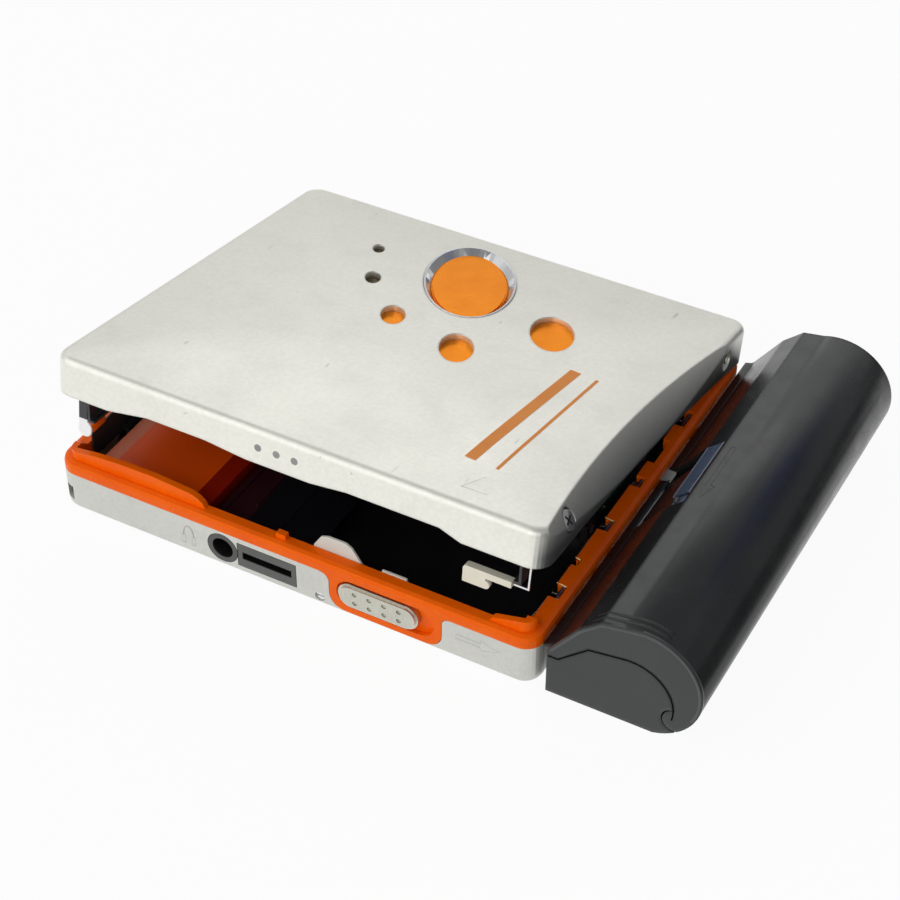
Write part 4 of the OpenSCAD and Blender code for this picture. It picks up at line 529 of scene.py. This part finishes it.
# three flat dots in a row on the lid's front wall
lipDots = {"xs": [-4.9, -1.8, 1.2], "z": 13.1, "radius": 0.6, "proud": 0.07}
bm = bmesh.new()
for x in lipDots["xs"]:
    made = bmesh.ops.create_uvsphere(bm, u_segments=20, v_segments=8, radius=lipDots["radius"])["verts"]
    bmesh.ops.scale(bm, vec=(1, lipDots["proud"] / lipDots["radius"], 1), verts=made)
    bmesh.ops.translate(bm, vec=(x, player["frontY"], lipDots["z"]), verts=made)
openUp(bm, lidHinge["lidOpen"])
finishPiece("lip_dots", bm, greyPrint, "lid")


def stripShape(length, width, cells):
    bm = bmesh.new()
    bmesh.ops.create_grid(bm, x_segments=cells, y_segments=2, size=0.5)
    bmesh.ops.scale(bm, vec=(length, width, 1), verts=bm.verts)
    return bm


def outlineShape(points, width):
    # an outline along the points; the face has no normal when it is inset, so the width has no effect
    # and the marks stand as thin lines
    bm = bmesh.new()
    face = bm.faces.new([bm.verts.new((*point, 0.0)) for point in points])
    bmesh.ops.inset_region(bm, faces=[face], thickness=width, use_boundary=True, use_even_offset=True)
    bmesh.ops.delete(bm, geom=[face], context="FACES_ONLY")
    bmesh.ops.subdivide_edges(bm, edges=bm.edges[:], cuts=3)
    bmesh.ops.triangulate(bm, faces=bm.faces[:])
    return bm


# a plain stripe with a thin line beside it on the lid's right
stripes = {"lift": 0.012, "thick": 0.03, "cells": 40, "length": 31.0, "lines": {
    "side_stripe": {"centre": (24.4, -11.0), "width": 1.8, "turn": 86.7},
    "side_line": {"centre": (28.5, -11.3), "width": 0.5, "turn": 88.0}}}
for name, line in stripes["lines"].items():
    bm = stripShape(stripes["length"], line["width"], stripes["cells"])
    place(bm, Matrix.Translation((*line["centre"], player["topZ"]))
          @ Matrix.Rotation(math.radians(line["turn"]), 4, "Z"))
    openUp(bm, lidHinge["lidOpen"])
    layOn(bm, lidTree, -lidUp, stripes["lift"])
    raiseUp(bm, lidUp, stripes["thick"])
    finishPiece(name, bm, stripePrint, "lid")

# a small triangle near the lid's front right corner
lidArrow = {"points": [(25.7, -33.2), (29.7, -33.1), (27.6, -29.4)], "width": 0.24, "lift": 0.012,
            "thick": 0.025}
bm = outlineShape(lidArrow["points"], lidArrow["width"])
place(bm, Matrix.Translation((0.0, 0.0, player["topZ"])))
openUp(bm, lidHinge["lidOpen"])
layOn(bm, lidTree, -lidUp, lidArrow["lift"])
raiseUp(bm, lidUp, lidArrow["thick"])
finishPiece("lid_triangle", bm, greyPrint, "lid")

# the four screws in the lid's sides: a shank, a rounded head and a dark cross that is painted shade for the
# slots; the one in the facet leans
lidScrew = {"shank": 0.7, "inner": 36.95, "seat": 38.9, "overlap": 0.4, "depth": 1.5, "rounding": 0.3,
            "slot": 0.16, "slotReach": 0.9, "slotDepth": 0.08, "slotTurns": (25, 115), "heads": [
                {"at": (40.5, -29.0, 14.1), "lean": 55.0, "radius": 1.72},
                {"at": (40.6, 28.0, 13.2), "lean": 90.0, "radius": 1.56},
                {"at": (-40.6, -29.0, 14.1), "lean": -90.0, "radius": 1.56},
                {"at": (-40.6, 28.0, 13.2), "lean": -90.0, "radius": 1.56}]}


def addShank(bm, look, x, y, z):
    middle = math.copysign((look["inner"] + look["seat"]) / 2, x)
    matrix = Matrix.Translation((middle, y, z)) @ Matrix.Rotation(math.radians(90), 4, "Y")
    bmesh.ops.create_cone(bm, cap_ends=True, segments=24, radius1=look["shank"], radius2=look["shank"],
                          depth=look["seat"] - look["inner"] + look["overlap"], matrix=matrix)


def addHead(bm, look, radius, along):
    # the head's outer face lies at the origin of the matrix, and its rim is rounded
    sink = Matrix.Translation((0.0, 0.0, -look["depth"] / 2))
    made = bmesh.ops.create_cone(bm, cap_ends=True, segments=32, radius1=radius, radius2=radius,
                                 depth=look["depth"], matrix=along @ sink)["verts"]
    back = along.inverted()
    rim = {e for v in made for e in v.link_edges if all((back @ w.co).z > -0.01 for w in e.verts)}
    bmesh.ops.bevel(bm, geom=list(rim), offset=look["rounding"], segments=3, profile=0.5, affect="EDGES",
                    material=-1)


# the cross is thin black bars on the head's face, painted shade where the slots would be
def addCross(bm, look, along):
    for turn in look["slotTurns"]:
        made = bmesh.ops.create_cube(bm, size=1.0)["verts"]
        bmesh.ops.scale(bm, vec=(2 * look["slotReach"], 2 * look["slot"], look["slotDepth"]), verts=made)
        bmesh.ops.transform(bm, matrix=along @ Matrix.Rotation(math.radians(turn), 4, "Z"), verts=made)


heads = bmesh.new()
slotShade = bmesh.new()
for head in lidScrew["heads"]:
    along = Matrix.Translation(head["at"]) @ Matrix.Rotation(math.radians(head["lean"]), 4, "Y")
    addShank(heads, lidScrew, *head["at"])
    addHead(heads, lidScrew, head["radius"], along)
    addCross(slotShade, lidScrew, along)
openUp(heads, lidHinge["lidOpen"])
openUp(slotShade, lidHinge["lidOpen"])
screws = finishPiece("lid_screws_round", heads, brightSteel, "lid")
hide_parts("lid_screws")
finishPiece("lid_screw_cross_shade", slotShade, innerBlack, "lid")
print("lid pieces made")

# marks on the front face: a long plain arrow by the slider, and a pair of ear shells over the jack
frontMarks = {"lift": 0.01, "thick": 0.02, "marks": {
    "slide_arrow": {"width": 0.22, "points": [(28.4, 4.5), (32.4, 4.5), (32.4, 3.9), (35.3, 4.9), (32.4, 5.9),
                                              (32.4, 5.3), (28.4, 5.3)]},
    "ear_mark_left": {"width": 0.16, "points": [(-18.4, 2.3), (-17.8, 2.3), (-17.8, 3.9), (-18.4, 3.9)]},
    "ear_mark_right": {"width": 0.16, "points": [(-16.6, 2.3), (-16.0, 2.3), (-16.0, 3.9), (-16.6, 3.9)]}}}
earBow = {"centre": (-17.2, 3.9), "reach": (0.9, 1.9), "radius": 0.09, "steps": 12}
markY = player["frontY"] - frontMarks["lift"]
upright = Matrix.Rotation(math.radians(90), 4, "X")
for name, mark in frontMarks["marks"].items():
    bm = outlineShape(mark["points"], mark["width"])
    place(bm, Matrix.Translation((0.0, markY, 0.0)) @ upright)
    raiseUp(bm, (0.0, -1.0, 0.0), frontMarks["thick"])
    finishPiece(name, bm, paleMark, "player")
path = arcPoints(earBow["centre"], earBow["reach"], 180, 0, earBow["steps"])
wirePiece("ear_mark_bow", [(x, markY, z) for x, z in path], earBow["radius"], paleMark, "player")

# an arrow on the battery case's cover, pointing the way it slides, in a lighter grey that is painted sheen on
# a black-on-black mark
coverArrow = {"width": 0.14, "lift": 0.012, "thick": 0.03, "aboveZ": 18.0, "points": [
    (51.2, 6.4), (51.2, -3.2), (50.5, -3.2), (51.55, -6.2), (52.6, -3.2), (51.9, -3.2), (51.9, 6.4)]}
bm = outlineShape(coverArrow["points"], coverArrow["width"])
place(bm, Matrix.Translation((0.0, 0.0, coverArrow["aboveZ"])))
layOn(bm, coverTree, (0.0, 0.0, -1.0), coverArrow["lift"])
raiseUp(bm, (0.0, 0.0, 1.0), coverArrow["thick"])
finishPiece("cover_arrow", bm, markSheenGrey, "cover")

# the seam's dark line on the front end, and the rounded edge of the cover's ring outside it, a glossy bead
# whose lighter grey is partly painted highlight
seamLine = {"radius": 0.17, "sunk": 0.10, "start": [(42.5, 7.0), (44.0, 7.0), (48.5, 11.05), (54.4, 11.97)],
            "centre": (54.9, 5.2), "ring": 6.78, "endTurn": -12.0, "steps": 12}
path = seamLine["start"] + arcPoints(seamLine["centre"], (seamLine["ring"], seamLine["ring"]), 90,
                                     seamLine["endTurn"], seamLine["steps"])
wirePiece("seam_line", [(x, batteryCase["frontY"] + seamLine["sunk"], z) for x, z in path],
          seamLine["radius"], gapBlack, "player")
ringEdge = {"radius": 0.42, "inset": 0.36, "endTurn": -27.0, "steps": 18,
            "start": [(42.75, 8.1), (47.15, 13.95), (50.3, 16.65), (53.4, 17.2)]}
reach = batteryCase["radius"] - ringEdge["inset"]
path = ringEdge["start"] + arcPoints((batteryCase["x"], batteryCase["z"]), (reach, reach), 90,
                                     ringEdge["endTurn"], ringEdge["steps"])
wirePiece("cover_ring_edge", [(x, batteryCase["frontY"] + ringEdge["inset"], z) for x, z in path],
          ringEdge["radius"], ringBlackHighlit, "cover")

# the cover's left edge runs down beside the player's rim, before and behind the latch
coverLip = {"outline": [(41.1, 7.3), (42.7, 7.3), (42.7, 8.4), (42.2, 7.95), (41.1, 7.6)],
            "spans": [(-34.8, -7.5), (8.0, 37.9)]}
bm = bmesh.new()
for start, stop in coverLip["spans"]:
    addBar(bm, coverLip["outline"], start, stop)
finishPiece("cover_lip", bm, caseBlack, "cover", smooth=60)

# a thin flap over the latch's slot, flush with the slope, carrying the painted sheen, and a small bump in
# front of it
slotFlap = {"outline": [(46.9, 14.2), (49.75, 16.69), (49.87, 16.55), (47.02, 14.07)],
            "from": -4.8, "to": 7.85}
latchBump = {"at": (48.0, -5.9, 14.75), "radius": 0.55}
bm = bmesh.new()
addBar(bm, slotFlap["outline"], slotFlap["from"], slotFlap["to"])
finishPiece("slot_flap", bm, latchPaintedSheen, "cover")
bm = bmesh.new()
# the bump shares the ring's lighter grey, partly painted highlight
bmesh.ops.create_uvsphere(bm, u_segments=16, v_segments=10, radius=latchBump["radius"])
place(bm, Matrix.Translation(latchBump["at"]))
finishPiece("latch_bump", bm, ringBlackHighlit, "cover")

# the player's share of the cover's left edge, beside the latch and clear of the cover when it slides
latchLip = {"outline": [(41.1, 7.3), (42.5, 7.9), (42.7, 8.4), (42.2, 7.95), (41.1, 7.6)],
            "from": -7.4, "to": 4.8}
bm = bmesh.new()
addBar(bm, latchLip["outline"], latchLip["from"], latchLip["to"])
finishPiece("latch_lip", bm, caseBlack, "player", smooth=60)

# two low ridges behind the ring at the cover's front end, fading into it at both ends
ridges = {"ys": [-34.6, -33.5], "width": 0.5, "proud": 0.22, "sunk": 0.3, "hidden": 0.03, "fullness": 0.4,
          "fromX": 48.2, "toX": 60.0, "aboveZ": 20.0, "cells": 30}


def ridgeShape(look, y):
    span = look["toX"] - look["fromX"]
    bm = stripShape(span, look["width"], look["cells"])
    place(bm, Matrix.Translation((look["fromX"] + span / 2, y, look["aboveZ"])))
    layOn(bm, coverTree, (0.0, 0.0, -1.0), -look["sunk"])
    bmesh.ops.recalc_face_normals(bm, faces=bm.faces)
    for v in raiseUp(bm, (0.0, 0.0, 1.0), 0.0):
        share = min(max((v.co.x - look["fromX"]) / span, 0.0), 1.0)
        fade = math.sin(math.pi * share) ** look["fullness"]
        middle = 1.0 - abs(v.co.y - y) / look["width"]
        away = Vector((v.co.x - batteryCase["x"], 0.0, v.co.z - batteryCase["z"])).normalized()
        rise = (look["hidden"] + look["proud"]) * fade * middle - look["hidden"]
        v.co += away * (look["sunk"] * away.z + rise)
    return bm


for number, y in enumerate(ridges["ys"], start=1):
    finishPiece("cover_ridge_%d" % number, ridgeShape(ridges, y), caseBlack, "cover",
                smooth=60)

# an orange hook at the holder's left front corner, seen under the lid
hook = {"from": -33.2, "to": -30.0, "rounding": 0.12, "outline": [
    (-38.15, 12.4), (-37.4, 12.4), (-37.4, 14.8), (-36.85, 14.8), (-36.85, 13.6), (-36.12, 13.6),
    (-36.12, 15.6), (-36.65, 16.3), (-38.15, 16.3)]}
bm = bmesh.new()
addBar(bm, hook["outline"], hook["from"], hook["to"])
bmesh.ops.bevel(bm, geom=bm.edges[:], offset=hook["rounding"], segments=2, profile=0.5, affect="EDGES",
                material=-1)
finishPiece("corner_hook", bm, frameOrange, "holder")

# a thin brass spring along the inside of the right rim
rimWires = {"radius": 0.13, "z": 9.25, "path": [
    (36.6, -33.4), (37.8, -33.1), (38.1, -31.0), (38.1, -27.6), (39.7, -27.4), (39.7, -24.6), (38.1, -24.4),
    (38.1, -20.2), (39.0, -20.0), (39.0, -18.6), (38.1, -18.4), (38.1, -11.5), (39.7, -11.3), (39.7, -8.7),
    (38.1, -8.5)]}
wirePiece("rim_wires", [(x, y, rimWires["z"]) for x, y in rimWires["path"]], rimWires["radius"], brass,
          "player")

# strips of brass sheet on the inside of the front rim
rimStrips = {"spans": [(-11.0, -3.4), (14.4, 17.8)], "y": -34.72, "z": (8.5, 9.25), "depth": 0.06}
bm = bmesh.new()
low, high = rimStrips["z"]
for start, stop in rimStrips["spans"]:
    corners = [(start, low), (stop, low), (stop, high), (start, high)]
    addBar(bm, corners, rimStrips["y"], rimStrips["y"] + rimStrips["depth"])
finishPiece("rim_strips", bm, brass, "player")
print("body pieces made")

# floor, light and camera; painted shadow on the floor at the right, a dark patch that stands for the object's
# shadow and shows only in what mirrors it
floorLook = {"z": -0.0002, "half": 6.0, "tone": (0.88, 0.88, 0.88), "white": 0.94,
             "mirrored": 1.0, "sheet": 0.06, "shadeStartX": 64.0, "shadeFade": 25.0}


def paleFloor(look):
    mat = bpy.data.materials.new("studio_floor")
    mat.use_nodes = True
    tree = mat.node_tree
    tree.nodes.remove(tree.nodes["Principled BSDF"])
    sheet = addNode(mat, "ShaderNodeBsdfDiffuse", {"Color": (*look["tone"], 1.0)}).outputs[0]
    glow = addNode(mat, "ShaderNodeEmission", {"Color": (1, 1, 1, 1), "Strength": 1.0}).outputs[0]
    rays = addNode(mat, "ShaderNodeLightPath").outputs
    share = addNode(mat, "ShaderNodeMath", {0: multiply(mat, rays["Is Camera Ray"], look["white"]),
                                            1: rays["Is Glossy Ray"]}, operation="MAXIMUM").outputs[0]
    place = addNode(mat, "ShaderNodeTexCoord").outputs["Object"]
    # painted shadow: to the right, the floor seen in reflections fades to a dark level
    far = (look["shadeStartX"] + look["shadeFade"]) * mm
    mirrored = remap(mat, axisOf(mat, place, "X"), look["shadeStartX"] * mm, far, look["mirrored"], look["sheet"])
    level = mixLevels(mat, rays["Is Camera Ray"], mirrored, 1.0)
    tree.links.new(level, glow.node.inputs["Strength"])
    both = addNode(mat, "ShaderNodeMixShader", {0: share, 1: sheet, 2: glow}).outputs[0]
    tree.links.new(both, tree.nodes["Material Output"].inputs["Surface"])
    return mat


bm = bmesh.new()
bmesh.ops.create_grid(bm, x_segments=8, y_segments=8, size=floorLook["half"])
bmesh.ops.translate(bm, vec=(0, 0, floorLook["z"]), verts=bm.verts)
mesh = bpy.data.meshes.new("floor")
bm.to_mesh(mesh)
bm.free()
floor = bpy.data.objects.new("floor", mesh)
mesh.materials.append(paleFloor(floorLook))
scene.collection.objects.link(floor)

# what the object mirrors: bright behind on the left, best half way up, and a dark card behind on the right
sky = {"left": 1.0, "right": 0.55, "azimuth": 140.0, "sweep": (-0.9, 0.8),
       "low": 0.62, "lowBand": (0.22, 0.5), "overhead": 0.38, "highBand": (0.55, 0.88),
       "card": 0.26, "cardAzimuth": 42.0, "cardHeight": 0.12, "cardEdge": (0.62, 0.86),
       "blue": (0.42, 0.48, 1.0), "blueAzimuth": 60.0, "blueHeight": 0.80, "blueEdge": (0.93, 0.985)}


def towards(world, where, azimuth, height):
    turn = math.radians(azimuth)
    aim = Vector((math.cos(turn), math.sin(turn), height)).normalized()
    return dotProduct(world, where, aim)


def studioSky(look):
    world = bpy.data.worlds.new("studio")
    scene.world = world
    world.use_nodes = True
    tree = world.node_tree
    back = tree.nodes["Background"]
    where = addNode(world, "ShaderNodeTexCoord").outputs["Generated"]
    facing = towards(world, where, look["blueAzimuth"], look["blueHeight"])
    blue = remap(world, facing, *look["blueEdge"], 0.0, 1.0)
    tree.links.new(mixTones(world, blue, (1.0, 1.0, 1.0), look["blue"]), back.inputs["Color"])
    facing = towards(world, where, look["azimuth"], 0.0)
    level = remap(world, facing, *look["sweep"], look["right"], look["left"])
    up = axisOf(world, where, "Z")
    level = multiply(world, level, remap(world, up, *look["lowBand"], look["low"], 1.0))
    level = multiply(world, level, remap(world, up, *look["highBand"], 1.0, look["overhead"]))
    facing = towards(world, where, look["cardAzimuth"], look["cardHeight"])
    card = remap(world, facing, *look["cardEdge"], 0.0, 1.0)
    level = mixLevels(world, card, level, look["card"])
    rays = addNode(world, "ShaderNodeLightPath").outputs
    level = mixLevels(world, rays["Is Camera Ray"], level, 1.0)
    tree.links.new(level, back.inputs["Strength"])


studioSky(sky)

lamps = {"key": {"at": (-0.60, -0.85, 0.60), "size": 1.5, "power": 4.4},
         "fill": {"at": (0.3, -1.1, 0.25), "size": 1.2, "power": 4.2},
         "back": {"at": (-0.42, 0.88, 0.74), "size": 0.6, "power": 0.40}}
for name, lamp in lamps.items():
    data = bpy.data.lights.new(name, "AREA")
    data.shape = "DISK"
    data.size = lamp["size"]
    data.energy = lamp["power"]
    light = bpy.data.objects.new(name, data)
    light.location = lamp["at"]
    light.rotation_euler = (-Vector(lamp["at"])).to_track_quat("-Z", "Y").to_euler()
    scene.collection.objects.link(light)

view = {"at": (0.1308, -0.22727, 0.22367), "turn": (49.569, -0.201, 28.705), "lens": 86.3}
cameraData = bpy.data.cameras.new("camera")
cameraData.lens = view["lens"]
cameraData.sensor_width = 36.0
cameraData.clip_start = 0.01
camera = bpy.data.objects.new("camera", cameraData)
camera.location = view["at"]
camera.rotation_euler = [math.radians(angle) for angle in view["turn"]]
scene.collection.objects.link(camera)
scene.camera = camera
scene.view_settings.view_transform = "Standard"
print("floor, light and camera set")
